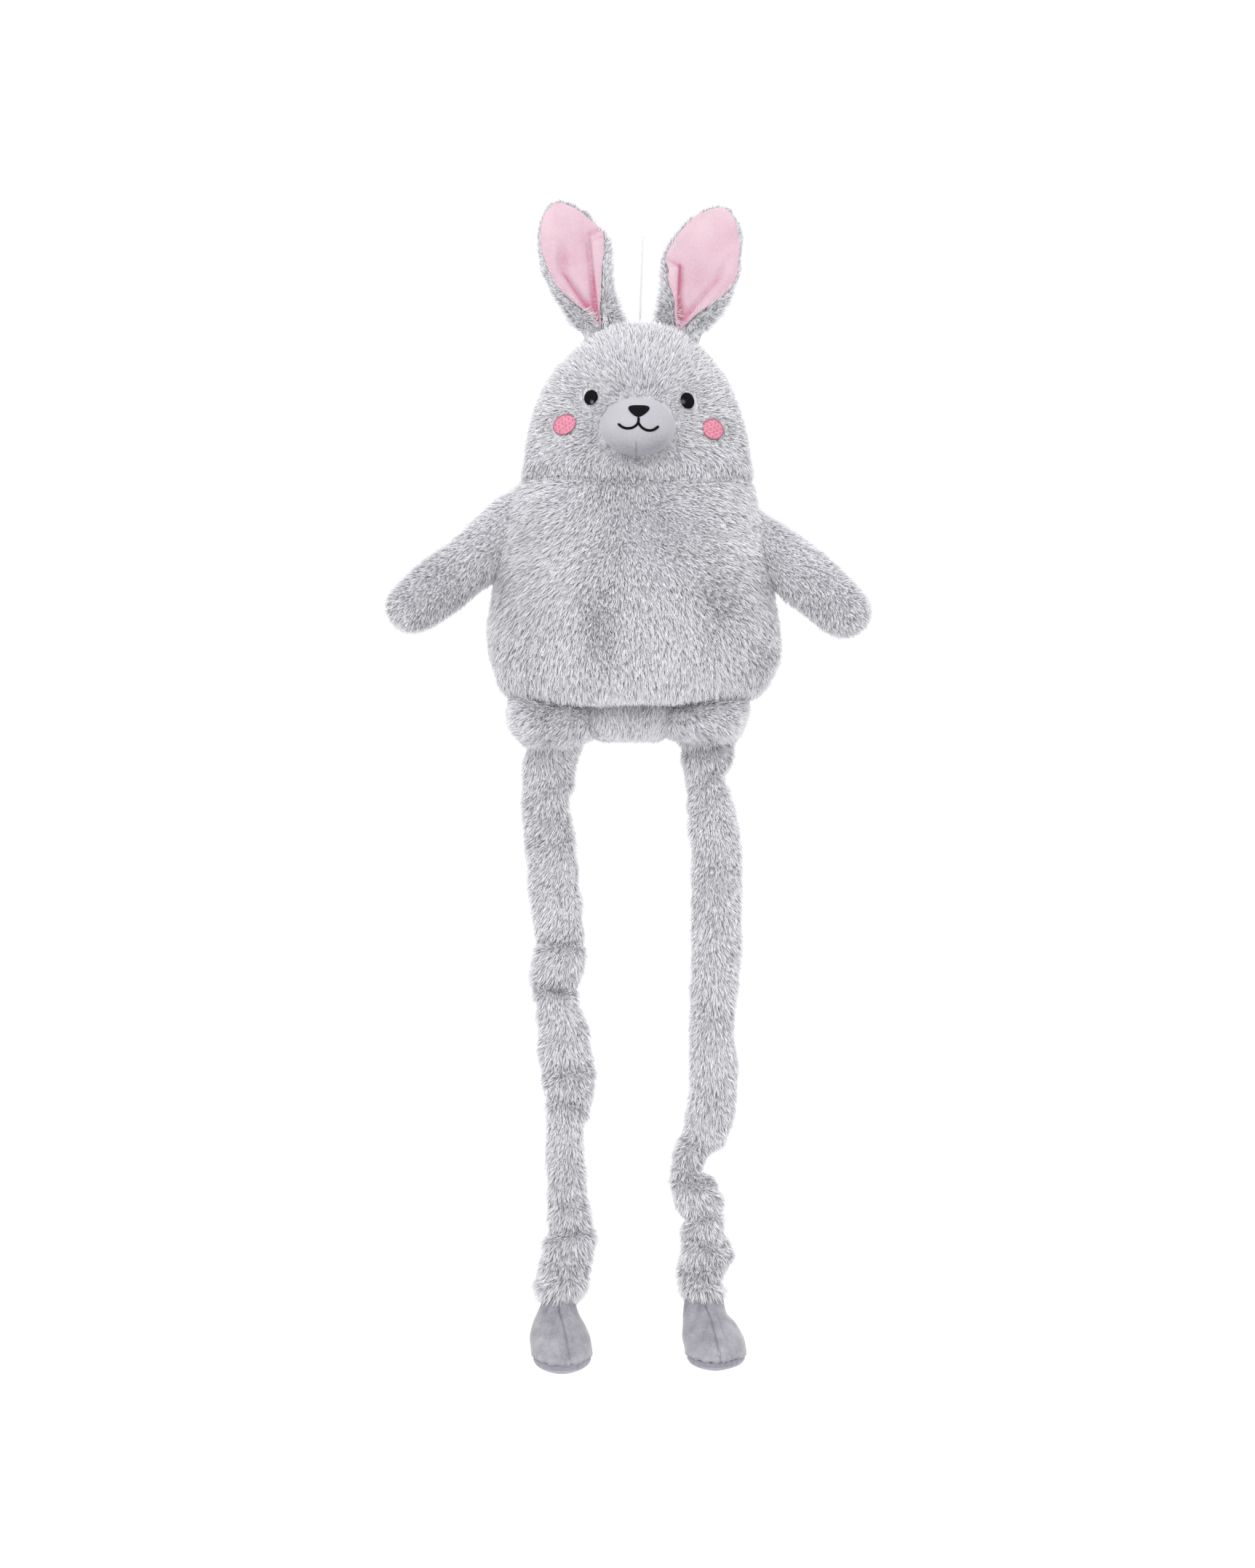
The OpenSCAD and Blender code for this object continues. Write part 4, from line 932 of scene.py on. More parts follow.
# ---------------------------------------------------------------- legs
# [z, middle x, half width, half depth]
LEG_L = [[-505, -92, 38, 26], [-512, -92, 34, 24], [-520, -91, 30, 20], [-528, -93, 28, 17], [-538, -96, 27.5, 16], [-549, -97, 27.5, 15], [-563, -98, 27, 15], [-576, -99, 26, 15], [-590, -98, 26, 15], [-603, -97, 27, 14], [-616, -96, 27.5, 15],
         [-630, -94, 27, 15], [-643, -92, 27.5, 15], [-656, -92, 28, 16], [-669, -90, 27.5, 15], [-683, -88, 27, 15], [-696, -87, 26.5, 15], [-708, -86, 26.5, 15], [-717, -85, 25.5, 15], [-722, -85, 24.5, 14], [-727, -85, 25.5, 15],
         [-737, -86, 27.5, 17], [-750, -88, 27.5, 17], [-759, -90, 25.5, 15], [-764, -91, 24, 13], [-770, -90, 23, 14], [-780, -88, 23, 15], [-789, -86, 24.5, 15], [-802, -83, 26.5, 16], [-815, -81, 27, 16], [-829, -79, 28.5, 17],
         [-840, -77, 29.5, 17], [-847, -76, 28.5, 16], [-855, -76, 28.5, 17], [-868, -75, 27, 16], [-880, -75, 25, 15], [-895, -78, 21.5, 14], [-909, -80, 20, 14], [-922, -80, 20.5, 15], [-935, -80, 21, 15], [-949, -79, 20.5, 15], [-962, -78, 20, 14],
         [-975, -78, 21.5, 15], [-989, -77, 22.5, 16], [-1002, -75, 24, 17], [-1010, -73, 24.5, 15], [-1018, -72, 25.5, 17], [-1028, -75, 27.5, 18], [-1042, -78, 27, 18], [-1053, -80, 26.5, 18], [-1062, -83, 26, 19], [-1070, -84, 25, 19], [-1077, -86, 22, 18], [-1081, -86.5, 18, 16]]
LEG_R = [[-505, 64, 38, 26], [-512, 64, 33, 24], [-519, 66, 28.5, 20], [-528, 66, 26.5, 17], [-538, 65, 24.5, 16], [-549, 62.5, 21, 16], [-556, 64, 21.5, 16], [-563, 66, 22.5, 15], [-576, 69, 24.5, 15], [-590, 71, 26, 15], [-603, 72.5, 26.5, 15],
         [-616, 73, 26.5, 15], [-640, 74, 26.5, 15], [-669, 74.5, 26.5, 15], [-696, 74.5, 27, 15], [-722, 75, 27.5, 16], [-737, 74.5, 27, 15], [-750, 74, 26.5, 15], [-763, 73.5, 26.5, 15], [-775, 72.5, 25, 14], [-789, 71.5, 24, 14], [-802, 71.5, 24, 14],
         [-815, 71.5, 24.5, 15], [-829, 72, 25, 15], [-842, 72, 26, 15], [-855, 72, 26.5, 15], [-868, 71.5, 26.5, 15], [-882, 70.5, 26, 15], [-895, 68, 25.5, 15], [-909, 64.5, 24.5, 16], [-918, 61, 24.5, 17], [-926, 57, 22.5, 18], [-935, 49, 18.5, 18],
         [-942, 45, 16, 17], [-949, 43.5, 15.5, 16], [-956, 46, 18, 16], [-962, 51, 22, 17], [-969, 53, 24.5, 18], [-976, 54.5, 25.5, 18], [-983, 56, 25.5, 17], [-990, 58.5, 24, 16], [-996, 60, 21.5, 15], [-1003, 61, 20.5, 15],
         [-1010, 61, 22, 16], [-1016, 61.5, 24, 17], [-1023, 64, 25.5, 18], [-1030, 66, 26.5, 19], [-1036, 66, 28, 19], [-1042, 64.5, 29.5, 19], [-1049, 61.5, 27.5, 18], [-1056, 59, 25, 17], [-1062, 59.5, 22.5, 17], [-1069, 60.5, 22.5, 18], [-1075, 61.5, 21.5, 18], [-1079, 62, 18, 16]]
CREASES = {"left": [(-560, 0.5, 3), (-590, -0.4, 2.5), (-616, 0.2, 2), (-664, -0.1, 2), (-720, 0.05, 4.5), (-765, -0.05, 5), (-810, 0.3, 2), (-850, 0.25, 4.5), (-881, -0.2, 4), (-940, -0.2, 2), (-985, 0.2, 3), (-1012, 0.1, 4.5), (-1040, -0.1, 3), (-1058, 0.1, 3)],
           "right": [(-522, 0.05, 3), (-552, 0.9, 3.5), (-572, 0.9, 2.5), (-640, 0.1, 1.2), (-790, -0.2, 2), (-925, -0.5, 4), (-946, -0.5, 3), (-962, -0.4, 5), (-998, 0.3, 5), (-1026, -0.15, 4), (-1047, 0.1, 4), (-1062, -0.2, 3.5)]}


def build_leg(side, LEG, seed, nodes):
    R = spread(inset(LEG, BASE), 300)
    g = ring_grid(R, 88, 2.15)
    full = Skin(g, closed=False)
    v = full.v / MM
    x, y, z = v.T
    cx = np.interp(-z, -R[:, 0], R[:, 1])
    n = noise(full.v, 0.030, seed) * 1.6 + noise(full.v, 0.013, seed + 1) * 0.9
    for zc, sl, dp in CREASES[side]:
        n -= 0.75 * dp * bump(z, zc + sl * (x - cx) + 5 * noise(full.v, 0.02, seed + 9), 5.2) * (0.55 + 0.45 * np.clip(-y / 10, 0, 1))
        n += 0.35 * dp * bump(z, zc + sl * (x - cx) - 9, 6)
    full.push(n * MM)
    G = full.v.reshape(g.shape)
    cuts = [0, np.searchsorted(-R[:, 0], 670), np.searchsorted(-R[:, 0], 945), len(R) - 1]
    kinds = [("sleeve_top", "torso", "leg_%s_upper" % side, -0.522, -0.580), ("sleeve_middle", "leg_%s_upper" % side, "leg_%s_lower" % side, -0.765, -0.835),
             ("sleeve_end", "leg_%s_lower" % side, "foot_" + side, -1.068, -1.098)]
    pend = []

    def field(P, N):
        p = P / MM
        zz = p[:, 2]
        c = np.interp(-zz, -R[:, 0], R[:, 1])
        wob = np.stack([noise(P, 0.028, seed + 2), noise(P, 0.028, seed + 3), noise(P, 0.028, seed + 4)], 1)
        drift = (-0.55 * smooth(-540, -600, zz) * smooth(-800, -700, zz) if side == "left" else 0.12)
        nap = np.tile(DOWN, (len(P), 1)) + np.stack([(p[:, 0] - c) / 40 + drift, 0 * zz, 0 * zz], 1) + 0.40 * wob
        L = 0.0079 + 0.0009 * noise(P, 0.025, seed + 5) + 0.0046 * smooth(-1050, -1076, zz)
        lift = 0.58 + 0.14 * noise(P, 0.03, seed + 6)
        tone = 0.835 + 0.07 * noise(P, 0.04, seed + 7)
        vary = 0.31 + 0 * zz
        for zc, sl, dp in CREASES[side]:
            # painted shade: the pile is drawn darker in each fold
            b = bump(zz, zc + sl * (p[:, 0] - c) + 5 * noise(P, 0.02, seed + 9), 8.0) * dp / 5
            tone = tone - 0.07 * b
            vary = vary + 0.30 * b
            lift = lift + 0.50 * b
        lift = lift - 0.25 * smooth(-1062, -1085, zz)
        return {"nap": nap, "len": L, "lift": lift, "tone": tone, "keep": 1.0, "vary": vary}

    for k, (nm, a, b, z0, z1) in enumerate(kinds):
        part = G[cuts[k]:cuts[k + 1] + 1] / MM
        sk = Skin(part, closed=False)
        w = np.ones(len(sk.v))
        # share the row of points at each border, with the normals of the whole
        ob = furry("leg_%s_%s" % (side, nm), sk, field, seed + 10 * k, weight=w, relief=0.0, clump=0.0018, wild=0.24)
        if k == 0:
            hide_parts(nodes[0])
        if k == 1:
            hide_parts(nodes[1])
        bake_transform(ob)
        pend.append(ob)
    return pend


# ---------------------------------------------------------------- feet
def build_foot(side, at, seed, nodes):
    sgn = -1 if side == "left" else 1   # outer side
    if side == "left":
        st = [[22, -2.5, 12, 12, 0], [14, -3.0, 13.8, 14, 0], [4, -3.4, 16.8, 15, 0], [-7, -3.6, 21.2, 19, -2], [-20.5, -2.6, 27.2, 28, -9], [-34, -1.0, 30.8, 38, -17], [-43, 0.2, 31.0, 43, -21], [-48, 0.6, 29.9, 43.6, -23], [-51.5, 0.9, 28.6, 43, -23]]
        seam_z, bow, deep_z = -51.5, 6.2, -67.2
    else:
        st = [[22, -10, 13, 12, 0], [14, -10, 16, 14, 0], [5, -10, 19.5, 15, 0], [-8, -9.5, 22, 19, -2], [-21.5, -4.3, 27.8, 28, -9], [-35, -0.6, 31.5, 38, -17], [-44, 1.0, 31.0, 43, -21], [-48.5, 1.4, 29.9, 43.6, -23], [-51.5, 1.6, 28.6, 43, -23]]
        seam_z, bow, deep_z = -51.5, 4.0, -64.8
    cx0 = 0.9 if side == "left" else 1.6
    R = spread(st, 84)
    g = ring_grid(R, 240, 2.15)
    sk = Skin(g, closed=False)
    v = sk.v / MM
    x, y, z = v.T
    a = np.array(at)
    ang = np.arctan2(y - np.interp(z, R[::-1, 0], R[::-1, 4]), x)
    n = noise(sk.v, 0.02, seed) * 0.9
    # centre seam down the instep, leaning outwards at the toe
    sx = np.interp(-z, [-22, 6, 20, 33, 57], [-5, -2, 3, 6, 12]) if side == "left" else np.interp(-z, [-22, 0, 14, 33, 57], [-12, -9, -3, 2, 9])
    front = y < -2
    n -= np.where(front, 1.7 * bump(x, sx, 1.0) - 0.8 * bump(x, sx - 4.5, 3.2) - 0.8 * bump(x, sx + 4.5, 3.2), 0)
    seam = np.where(front, bump(x, sx, 1.0), 0) + 1.3 * bump(z, seam_z, 1.1)
    sx2 = 0 * z
    if side == "right":
        sx2 = np.interp(-z, [-22, 5, 35, 57], [-2, 1, 14, 22])
        n -= np.where(front, 1.1 * bump(x, sx2, 2.2), 0)
    # puckers where the upper is gathered into the sole, and up at the ankle
    pk = np.sin(ang * 30 + 2.2 * np.sin(ang * 5))
    n += (0.75 * pk + 0.35 * np.sin(ang * 17 + 1.0)) * smooth(-41, -51, z) * (0.35 + 0.65 * np.abs(np.sin(ang)))
    n += 0.7 * np.sin(ang * 15 + 1.3) * smooth(-6, 10, z)
    n -= 1.4 * bump(z, seam_z, 1.6)
    n += 0.9 * bump(z, seam_z + 3.6, 2.4)                 # the upper bulges over the seam
    # long soft wrinkles running down from the ankle
    wr = np.zeros_like(x)
    for x0, x1, z0_, z1_, dp_ in ((-12, -24, 4, -26, 1.3), (9, 22, 2, -24, 1.2), (-3, -13, -2, -34, 0.9), (7, 15, -18, -46, 0.9), (-16, -21, -26, -48, 0.7)):
        f_ = np.clip((z - z0_) / (z1_ - z0_), 0, 1)
        b_ = bump(x, x0 + (x1 - x0) * f_, 1.9) * smooth(z0_ + 3, z0_ - 4, z) * smooth(z1_ - 5, z1_ + 5, z) * front
        wr += dp_ * b_
    n -= 0.55 * wr
    # soft dents across the instep
    n -= 1.1 * bump(z + 0.35 * x * sgn, -22, 4.5) * bump(x, 8 * sgn, 13) * front
    sk.push(n * MM)
    lowered = lambda x_, y_: bow * np.clip((-y_ - 23) / 43, 0, 1) ** 0.8 * np.clip(1 - ((x_ - cx0) / 30) ** 2, 0, 1)
    sk.v[:, 2] -= lowered(x, y) * smooth(-25, -51, z) * MM
    cst = inset([list(q) for q in st] + [[-57, cx0, 26.5, 41, -23], [-61.5, cx0, 19, 31, -22], [-64, cx0, 8, 14, -22]], 5.2)
    ck = Skin(ring_grid(spread(cst, 40), 48, 2.15))
    fill_ = mesh("foot_%s_filling" % side, ck.v + a * MM, ck.quads, ck.tris, [M_FILL])
    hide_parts("foot_%s_stuffing" % side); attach(fill_, "foot_" + side)
    up = mesh("foot_%s_upper" % side, sk.v + a * MM, sk.quads, None, [M_VELVET])
    m = up.modifiers.new("cloth", "SOLIDIFY"); m.thickness = 0.0014; m.offset = -1
    # painted shade and light: darker in the seams, wrinkles and pucker hollows, towards the ankle and in a patch beside
    # the centre seam; lighter just above the sole seam and in patches low on either side
    at_ = up.data.attributes.new("crease", "FLOAT", "POINT")
    at_.data.foreach_set("value", np.clip(0.22 * seam + 0.10 * np.where(front, bump(x, sx2, 2.0), 0) * (side == "right") + 0.35 * smooth(6, 20, z) + 0.10 * wr + 0.20 * np.clip(-pk, 0, 1) * smooth(-42, -51, z)
                                               + 0.16 * bump(x, sx - 7, 9) * bump(z, -18, 17) * front - 0.14 * bump(x, sx - 16, 12) * bump(z, -38, 13) * front - 0.24 * bump(z, seam_z + 4.0, 2.8) * front - 0.08 * bump(x, sx + 14, 8) * bump(z, -30, 18) * front, -0.6, 1).astype(np.float32))
    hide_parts(nodes[0], nodes[1])
    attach(up, "foot_" + side)
    cx = cx0; dz = deep_z + 66.4
    st = [[-50, cx, 28.6, 42.3, -23], [-52.5, cx, 28.9, 42.6, -23], [-56.5 + 0.4 * dz, cx, 27.0, 40.5, -23], [-60 + 0.6 * dz, cx, 23.4, 36, -22.5], [-63 + 0.8 * dz, cx, 18.0, 29, -22], [-65.2 + dz, cx, 11, 19, -22], [-66.3 + dz, cx, 5, 9, -22], [-66.4 + dz, cx, 2, 3, -22]]
    R = spread(st, 48)
    g = ring_grid(R, 120, 2.15)
    so = Skin(g)
    v = so.v / MM
    ang = np.arctan2(v[:, 1] + 24, v[:, 0])
    so.push((noise(so.v, 0.022, seed + 5) * 0.7 + 0.45 * np.sin(ang * 30 + 2.2 * np.sin(ang * 5)) * smooth(-62, -54, v[:, 2])) * MM)
    so.v[:, 2] -= lowered(v[:, 0], v[:, 1]) * smooth(deep_z + 1.5, -54, v[:, 2]) * MM
    sole = mesh("foot_%s_sole_pad" % side, so.v + a * MM, so.quads, so.tris, [M_SOLE])
    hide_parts(nodes[2])
    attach(sole, "foot_" + side)


# ---------------------------------------------------------------- muzzle and embroidery
MZ = (-5.2, -198.2)
MZW, MZH = 38.4, 30.3


def muzzle_shape(th):
    """Outline radius factor round the muzzle: fuller below, a slight corner on the left."""
    return 1 + 0.035 * np.exp(-((np.cos(th) + 1) / 0.06) ** 2) - 0.02 * np.cos(2 * th) ** 2


def muzzle_point(x, z):
    """y of the muzzle's skin at x, z in mm."""
    th = np.arctan2((z - MZ[1]) / MZH, (x - MZ[0]) / MZW)
    r = np.sqrt(((x - MZ[0]) / MZW) ** 2 + ((z - MZ[1]) / MZH) ** 2) / muzzle_shape(th)
    r = np.clip(r, 0, 1)
    dome = np.sqrt(np.maximum(0, 1 - r**2.3))
    tilt = 1 + 0.10 * (z - MZ[1]) / MZH * -1
    return face_y(x, z) + 1.5 - 32.0 * dome * tilt


def build_muzzle():
    nr, nu = 60, 160
    th = np.arange(nu) / nu * TAU
    rr = np.sin(np.linspace(0.02, 1, nr) * math.pi / 2)
    X = MZ[0] + MZW * rr[:, None] * np.cos(th)[None] * muzzle_shape(th)[None]
    Z = MZ[1] + MZH * rr[:, None] * np.sin(th)[None] * muzzle_shape(th)[None]
    Y = muzzle_point(X, Z)
    # darts: bottom centre and short right, drawn in as narrow grooves
    dart = 1.3 * bump(X, -7.2, 0.8) * smooth(MZ[1] - 12, MZ[1] - 24, Z)
    dart2 = 0.9 * bump(Z, -191.5 - 0.4 * (X - 28), 0.8) * smooth(24, 32, X)
    Y = Y + dart - 0.5 * bump(X, -7.2, 4) * smooth(MZ[1] - 12, MZ[1] - 24, Z) + dart2
    Y = Y + 0.5 * noise(np.stack([X, Y, Z], 2).reshape(-1, 3) * MM, 0.014, 61).reshape(X.shape)
    back = []
    for s in (0.97, 0.6, 0.2):
        xb = MZ[0] + (X[-1] - MZ[0]) * s; zb = MZ[1] + (Z[-1] - MZ[1]) * s
        back.append(np.stack([xb, face_y(xb, zb) + 2.2, zb], 1))
    g = np.concatenate([np.stack([X, Y, Z], 2), np.stack(back)])
    sk = Skin(g)
    q, t = sk.quads, sk.tris
    # rings run anticlockwise seen from the front, so faces look outwards
    ob = mesh("muzzle_velour_pad", sk.v, q, t, [M_VELOUR])
    if sk.normals()[nu * 5][1] > 0:
        ob.data.flip_normals()
    # painted shade and light: the velour is drawn darker over the lower half and in the bottom dart, and a little
    # lighter at the top
    cr = np.clip(0.60 * smooth(-193, -224, sk.v[:, 2] / MM) - 0.06 * smooth(-190, -172, sk.v[:, 2] / MM) + 0.45 * bump(sk.v[:, 0] / MM, -7.2, 0.9) * smooth(MZ[1] - 12, MZ[1] - 20, sk.v[:, 2] / MM), -0.3, 1)
    at = ob.data.attributes.new("crease", "FLOAT", "POINT"); at.data.foreach_set("value", cr.astype(np.float32))
    inner = g.copy()
    inner[:nr] = inner[:nr] * [0.93, 1, 0.93] + np.array([MZ[0], 0, MZ[1]]) * 0.07 + [0, 2.4, 0]
    ck = Skin(inner[::2][:, ::3])
    st_ = mesh("muzzle_filling", ck.v, ck.quads, ck.tris, [M_FILL])
    if ck.normals()[(nu // 3) * 3][1] > 0:
        st_.data.flip_normals()
    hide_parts("muzzle_stuffing"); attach(st_, "head")
    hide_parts("muzzle")
    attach(ob, "head")


def patch(name, outline, surf, height, ridge, pitch, turn, mats, rep, slot_, border=None, nr=34, glint=None):
    """A raised satin-stitched patch: outline (n, 2) round a centre, on a surface, with thread ridges."""
    c = outline.mean(0)
    rr = np.concatenate([np.linspace(0.02, 0.86, nr), [0.92, 0.97, 1.0]])
    P = c + rr[:, None, None] * (outline - c)[None]
    X, Z = P[..., 0], P[..., 1]
    crown = np.sqrt(np.maximum(0, 1 - rr[:, None] ** 4))
    ct, st_ = math.cos(math.radians(turn)), math.sin(math.radians(turn))
    w = -X * st_ + Z * ct
    u = X * ct + Z * st_
    k = np.floor(w / pitch)
    row = np.abs(((w / pitch) % 1) - 0.5) * 2
    h = height * (0.35 + 0.65 * crown) + ridge * (1 - row**2)
    # painted shade in the grooves between thread rows
    cr = 0.55 * smooth(0.72, 1.0, row)
    if border is None:
        pass
    else:
        step = np.abs((((u + (k % 2) * border * 0.5) / border) % 1) - 0.5) * 2
        h = h - ridge * 0.8 * (step > 0.82)
        h = h + 0.5 * smooth(0.84, 0.9, rr)[:, None]
        # painted shade in the gaps between stitches; the rim ring is drawn darker
        cr = np.maximum(cr * (rr[:, None] < 0.86), 0.45 * (step > 0.82) * (rr[:, None] < 0.86))
        cr = cr + 0.9 * smooth(0.86, 0.93, rr)[:, None] + 0 * X
    if glint is not None:
        g_ = np.radians(glint)
        ax, az = np.ptp(outline[:, 0]) / 2, np.ptp(outline[:, 1]) / 2
        q = np.hypot((X - c[0]) / ax - 0.68 * math.cos(g_), (Z - c[1]) / az - 0.68 * math.sin(g_))
        cr = cr - 1.5 * bump(q, 0, 0.30) * (0.6 + 0.4 * (1 - row))
    Y = surf(X, Z) - h
    back = []
    for s in (1.0, 0.5):
        b = c + s * (outline - c)
        back.append(np.stack([b[:, 0], surf(b[:, 0], b[:, 1]) + 0.6, b[:, 1]], 1))
    g = np.concatenate([np.stack([X, Y, Z], 2), np.stack(back)])
    sk = Skin(g)
    ob = mesh(name, sk.v, sk.quads, sk.tris, mats)
    full = np.ones(len(sk.v), np.float32); full[:cr.size] = np.clip(cr, -1, 1).ravel()
    at = ob.data.attributes.new("crease", "FLOAT", "POINT"); at.data.foreach_set("value", full)
    n = sk.normals()
    if n[outline.shape[0] * 3][1] > 0:
        ob.data.flip_normals()
    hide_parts(rep)
    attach(ob, "head")
    return ob


def ellipse(cx, cz, a, b, turn, n=140, rough=0.0, seed=0):
    th = np.arange(n) / n * TAU
    rng = np.random.default_rng(seed)
    k = 1 + rough * rng.uniform(-1, 1, n)
    x, z = a * np.cos(th) * k, b * np.sin(th) * k
    t = math.radians(turn)
    return np.stack([cx + x * math.cos(t) - z * math.sin(t), cz + x * math.sin(t) + z * math.cos(t)], 1)


def spline2(pts, n):
    pts = np.array(pts, float)
    t = np.concatenate([[0], np.cumsum(np.linalg.norm(np.diff(pts, axis=0), axis=1))])
    # Catmull-Rom through the points
    out = []
    tt = np.linspace(0, t[-1], n)
    ext = np.concatenate([[2 * pts[0] - pts[1]], pts, [2 * pts[-1] - pts[-2]]])
    i = np.clip(np.searchsorted(t, tt, side="right") - 1, 0, len(pts) - 2)
    u = ((tt - t[i]) / (t[i + 1] - t[i]))[:, None]
    a, b, c, d = ext[i], ext[i + 1], ext[i + 2], ext[i + 3]
    return 0.5 * ((2 * b) + (c - a) * u + (2 * a - 5 * b + 4 * c - d) * u**2 + (3 * b - 3 * c + d - a) * u**3)


def satin_line(name, runs, width, surf, lift, mats, rep):
    """Satin-stitched line: a flat oval cord with slanted threads."""
    V, Q, T = [], [], []
    off = 0
    for pts in runs:
        L = np.linalg.norm(np.diff(np.array(pts), axis=0), axis=1).sum()
        n = int(L / 0.16)
        p = spline2(pts, n)
        d = np.gradient(p, axis=0); d /= np.linalg.norm(d, axis=1)[:, None]
        side = np.stack([-d[:, 1], d[:, 0]], 1)
        s = np.linspace(0, L, n)
        m = 18
        th = np.arange(m) / m * TAU
        endk = np.minimum(1, np.sqrt(np.maximum(0.02, np.minimum(s, L - s) / (0.5 * width))))
        c = np.cos(th)[None]; sn = np.sin(th)[None]
        slant = 0.10 * np.sin(TAU * (s[:, None] + 0.45 * c * width) / 0.62)
        w = 0.5 * width * endk[:, None] * (1 + 0.35 * slant)
        X = p[:, 0:1] + side[:, 0:1] * c * w; Z = p[:, 1:2] + side[:, 1:2] * c * w
        Y = surf(p[:, 0:1] + side[:, 0:1] * c * w, p[:, 1:2] + side[:, 1:2] * c * w) - lift - (0.62 * 0.5 * width * endk[:, None]) * sn * (1 + 1.4 * slant)
        g = np.stack([X, Y, Z], 2)
        sk = Skin(g)
        V.append(sk.v); Q.append(sk.quads + off); T.append(sk.tris + off); off += len(sk.v)
        nrm = sk.normals()
        k = (n // 2) * m + m // 4
        if nrm[k][1] > 0:
            Q[-1] = Q[-1][:, ::-1]; T[-1] = T[-1][:, ::-1]
    ob = mesh(name, np.concatenate(V), np.concatenate(Q), np.concatenate(T), mats)
    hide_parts(rep)
    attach(ob, "head")
    return ob


def build_face():
    for (x, z, a, b, t), sd, nm, pt in ((EYES[0], 1, "left", 78), (EYES[1], 2, "right", 98)):
        patch("eye_%s_satin" % nm, ellipse(x, z, a, b, t, seed=sd, rough=0.012), lambda x, z: face_y(x, z, 2.2), 3.2, 0.14, 0.42, pt, [M_BLACK], "eye_" + nm, "black_satin", glint=(-75 if nm == "left" else 195))
    for (x, z, a, b, t), sd, nm, pt in ((CHEEKS[0], 3, "left", 6), (CHEEKS[1], 4, "right", -10)):
        patch("cheek_%s_satin" % nm, ellipse(x, z, a, b, t, n=220, seed=sd, rough=0.008), lambda x, z: face_y(x, z, 1.2), 2.0, 0.30, 2.3, pt, [M_PINK], "cheek_" + nm, "pink_satin", border=7.0, nr=64)
    nose = np.array([[-14, -176.3], [-12.6, -174.6], [-9.4, -173.9], [-4.2, -173.8], [1.0, -174.0], [4.0, -174.8], [5.4, -176.6], [4.4, -179.3], [1.6, -182.4], [-1.8, -184.8], [-4.7, -185.8], [-7.6, -184.8], [-11.0, -182.0], [-13.3, -178.8], [-14, -176.3]])
    o = spline2(nose, 181)[:-1]
    o = (o - o.mean(0)) * [1.13, 1.06] + o.mean(0)
    o = np.stack(seen(*o.T, 101), 1) + [0, 1.6]
    patch("nose_satin", o[::-1], muzzle_point, 1.5, 0.12, 0.42, 80, [M_BLACK], "nose", "black_satin")
    runs = [[[-4.7, -184.5], [-4.7, -188], [-5.2, -190.6], [-7.4, -193.6], [-11.2, -195.8], [-16.2, -196.2], [-20.6, -194.6], [-24.6, -191.0]],
            [[-4.9, -189.4], [-3.9, -192.2], [-1.2, -195.6], [2.6, -197.9], [6.6, -198.4], [10.6, -197.2], [13.6, -194.8], [15.0, -193.6]]]
    satin_line("mouth_satin", [[list(seen(-4.7 + (x + 4.7) * 1.06, z, 100)) for x, z in r] for r in runs], 2.7, muzzle_point, 0.2, [M_BLACK], "mouth")


def build_loop():
    pts = [(-3.8, -89.0), (-3.65, -84.0), (-3.2, -70.0), (-2.35, -45.0), (-1.5, -20.0), (-1.15, -8.0), (-1.35, -3.0)]
    pts += [(1.4 * math.cos(math.radians(t)), -1.9 + 1.4 * math.sin(math.radians(t))) for t in (150, 120, 90, 60, 30)]
    pts += [(1.3, -3.0), (0.15, -8.0), (-0.35, -20.0), (-1.2, -45.0), (-2.05, -70.0), (-2.5, -84.0), (-2.65, -89.0)]
    p = spline2(pts, 420)
    d = np.gradient(p, axis=0); d /= np.linalg.norm(d, axis=1)[:, None]
    side = np.stack([-d[:, 1], d[:, 0]], 1)
    th = np.arange(12) / 12 * TAU
    r = 0.45
    X = p[:, 0:1] + side[:, 0:1] * np.cos(th)[None] * r; Z = p[:, 1:2] + side[:, 1:2] * np.cos(th)[None] * r
    Y = np.repeat((-np.sin(th) * r)[None], len(p), 0)
    sk = Skin(np.stack([X, Y, Z], 2))
    q, t = sk.quads, sk.tris
    mid = (len(p) // 4) * 12
    if (sk.normals()[mid, 0] * (X[len(p) // 4, 0] - p[len(p) // 4, 0])) < 0:
        q, t = q[:, ::-1], t[:, ::-1]
    ob = mesh("hang_loop_thread", sk.v, q, t, [M_NYLON])
    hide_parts("hang_loop")
    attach(ob, "head")


# ---------------------------------------------------------------- assembly
build_head()
build_body()
build_hips()
build_arm("arm_left_fur", (-175.5, 0, -331), 52.3, 74, 301, ["arm_left_front", "arm_left_back"], "arm_left", -1)
build_arm("arm_right_fur", (157, 0, -340), -48, 62, 311, ["arm_right_front", "arm_right_back"], "arm_right", 1)
build_ear("left", 401)
build_ear("right", 411)
build_leg("left", LEG_L, 501, ["leg_left_upper", "leg_left_lower"])
build_leg("right", LEG_R, 551, ["leg_right_upper", "leg_right_lower"])
build_foot("left", (-83, 0, -1088), 601, ["foot_left_outer", "foot_left_inner", "foot_left_sole"])
build_foot("right", (72, 0, -1087), 611, ["foot_right_outer", "foot_right_inner", "foot_right_sole"])
build_muzzle()
build_face()
build_loop()
for n, o in cad.items():
    if "stuffing" in n:
        o.data.materials.clear(); o.data.materials.append(M_FILL)

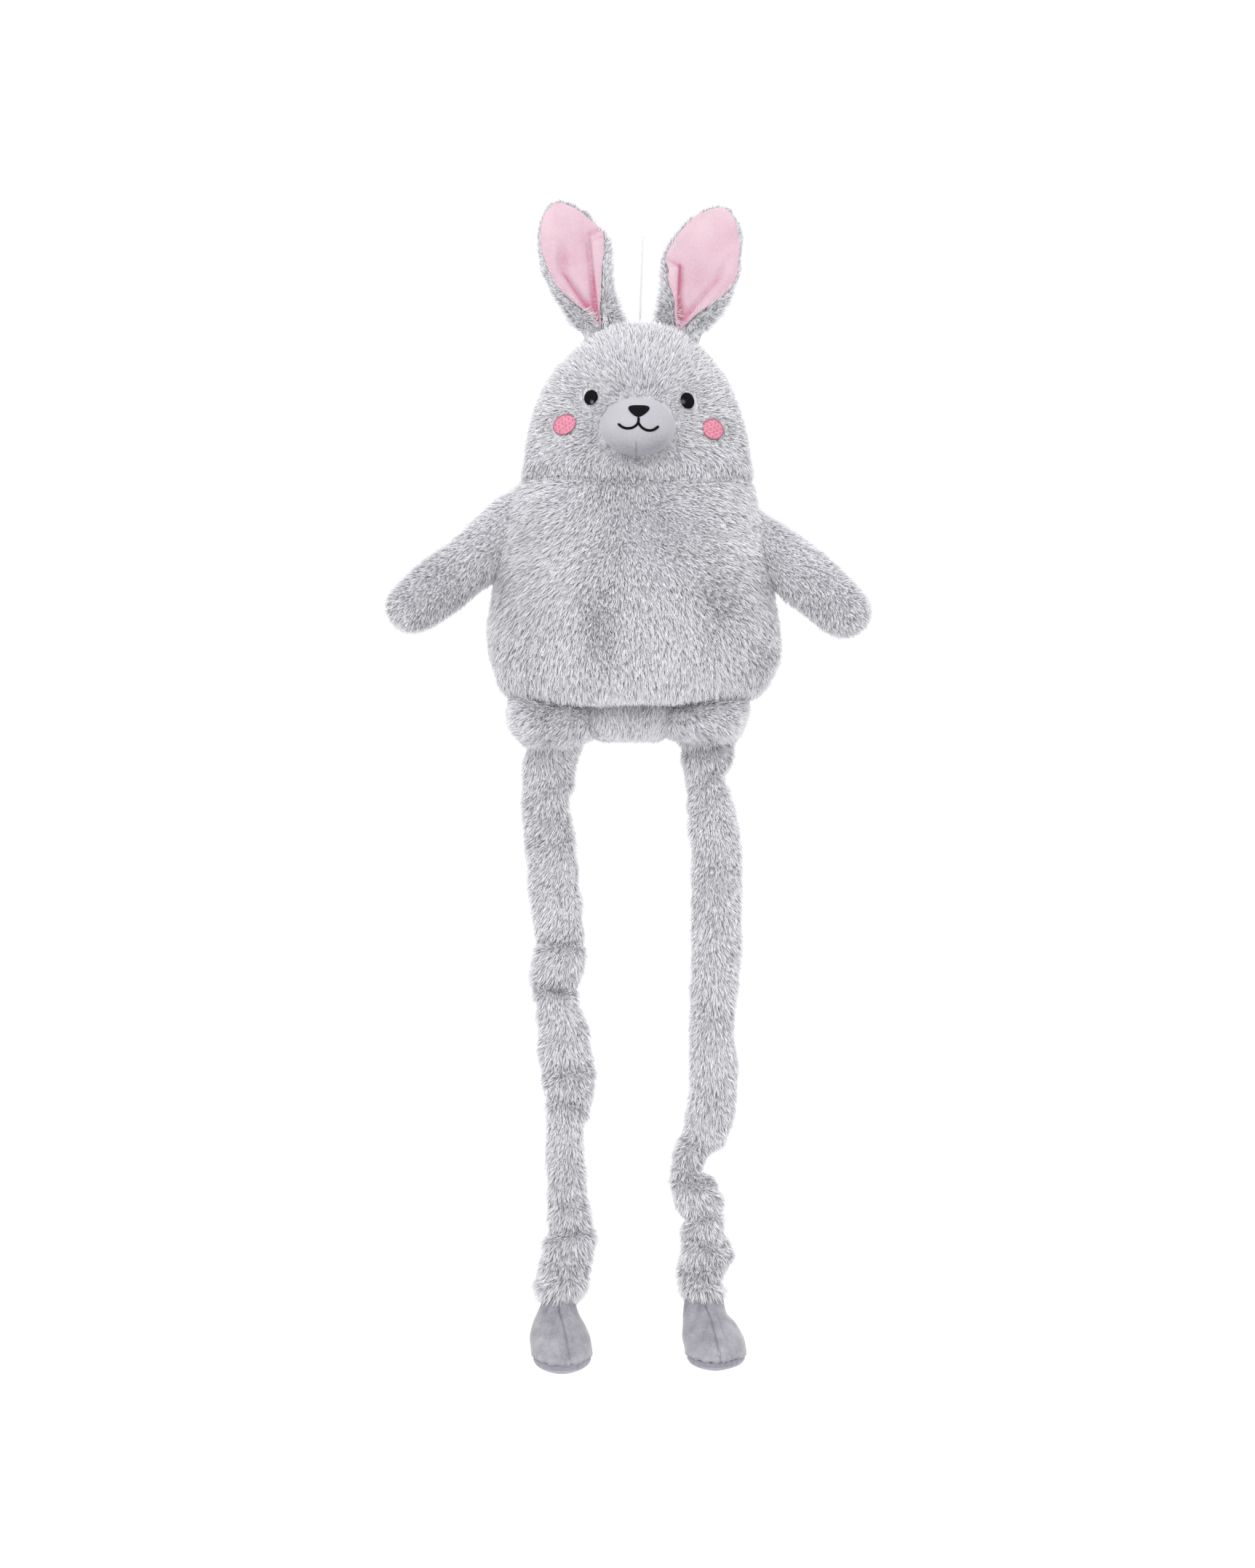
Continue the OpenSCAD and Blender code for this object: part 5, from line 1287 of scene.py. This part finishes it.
# ---------------------------------------------------------------- stage, light, camera
def backdrop():
    m, nt, bs = new_mat("pale_floor")
    n1 = noise_tex(nt, coords(nt), 3, 2, 0.5)
    nt.links.new(ramp(nt, n1, [(0.0, (0.80, 0.80, 0.80)), (1.0, (0.83, 0.83, 0.83))]), bs.inputs["Base Color"])
    bs.inputs["Roughness"].default_value = 0.9
    n = 96
    th = np.arange(n) / n * TAU
    v = [[0, 0, -1.32]]
    for r in (1.0, 3.0, 9.0, 30.0):
        v += [[r * math.cos(t), r * math.sin(t), -1.32] for t in th]
    a = 1 + np.arange(4 * n).reshape(4, n)
    b = np.roll(a, -1, 1)
    quads = np.stack([a[:-1], a[1:], b[1:], b[:-1]], 2).reshape(-1, 4)
    tris = np.stack([np.zeros(n, int), a[0], b[0]], 1)
    ob = mesh("floor", np.array(v), quads, tris, [m])


backdrop()
w = bpy.data.worlds.new("studio"); sc.world = w; w.use_nodes = True
bg = w.node_tree.nodes["Background"]
tc = w.node_tree.nodes.new("ShaderNodeTexCoord"); sx = w.node_tree.nodes.new("ShaderNodeSeparateXYZ")
w.node_tree.links.new(tc.outputs["Generated"], sx.inputs[0])
sky = ramp(w.node_tree, sx.outputs["Z"], [(0.0, (1.03, 1.03, 1.03)), (0.25, (1.03, 1.03, 1.03)), (0.7, (1.5, 1.5, 1.5))])
w.node_tree.links.new(sky, bg.inputs["Color"]); bg.inputs["Strength"].default_value = 1.0


def area(name, loc, target, size, power):
    l = bpy.data.lights.new(name, "AREA"); l.energy = power; l.size = size
    o = bpy.data.objects.new(name, l); sc.collection.objects.link(o)
    o.location = loc
    from mathutils import Vector
    o.rotation_euler = (Vector(target) - Vector(loc)).to_track_quat("-Z", "Y").to_euler()


area("key", (-0.9, -2.3, 1.5), (0, 0, -0.5), 1.4, 30)
area("fill", (1.8, -2.0, 0.2), (0, 0, -0.5), 1.8, 6)
sc.view_settings.view_transform = "Standard"

cam = bpy.data.cameras.new("camera")
cam.lens = 150; cam.sensor_width = 36; cam.clip_end = 60
co = bpy.data.objects.new("camera", cam); sc.collection.objects.link(co)
co.location = (-0.0159, -6.647, -0.558)
co.rotation_euler = (math.pi / 2, 0, 0)
sc.camera = co
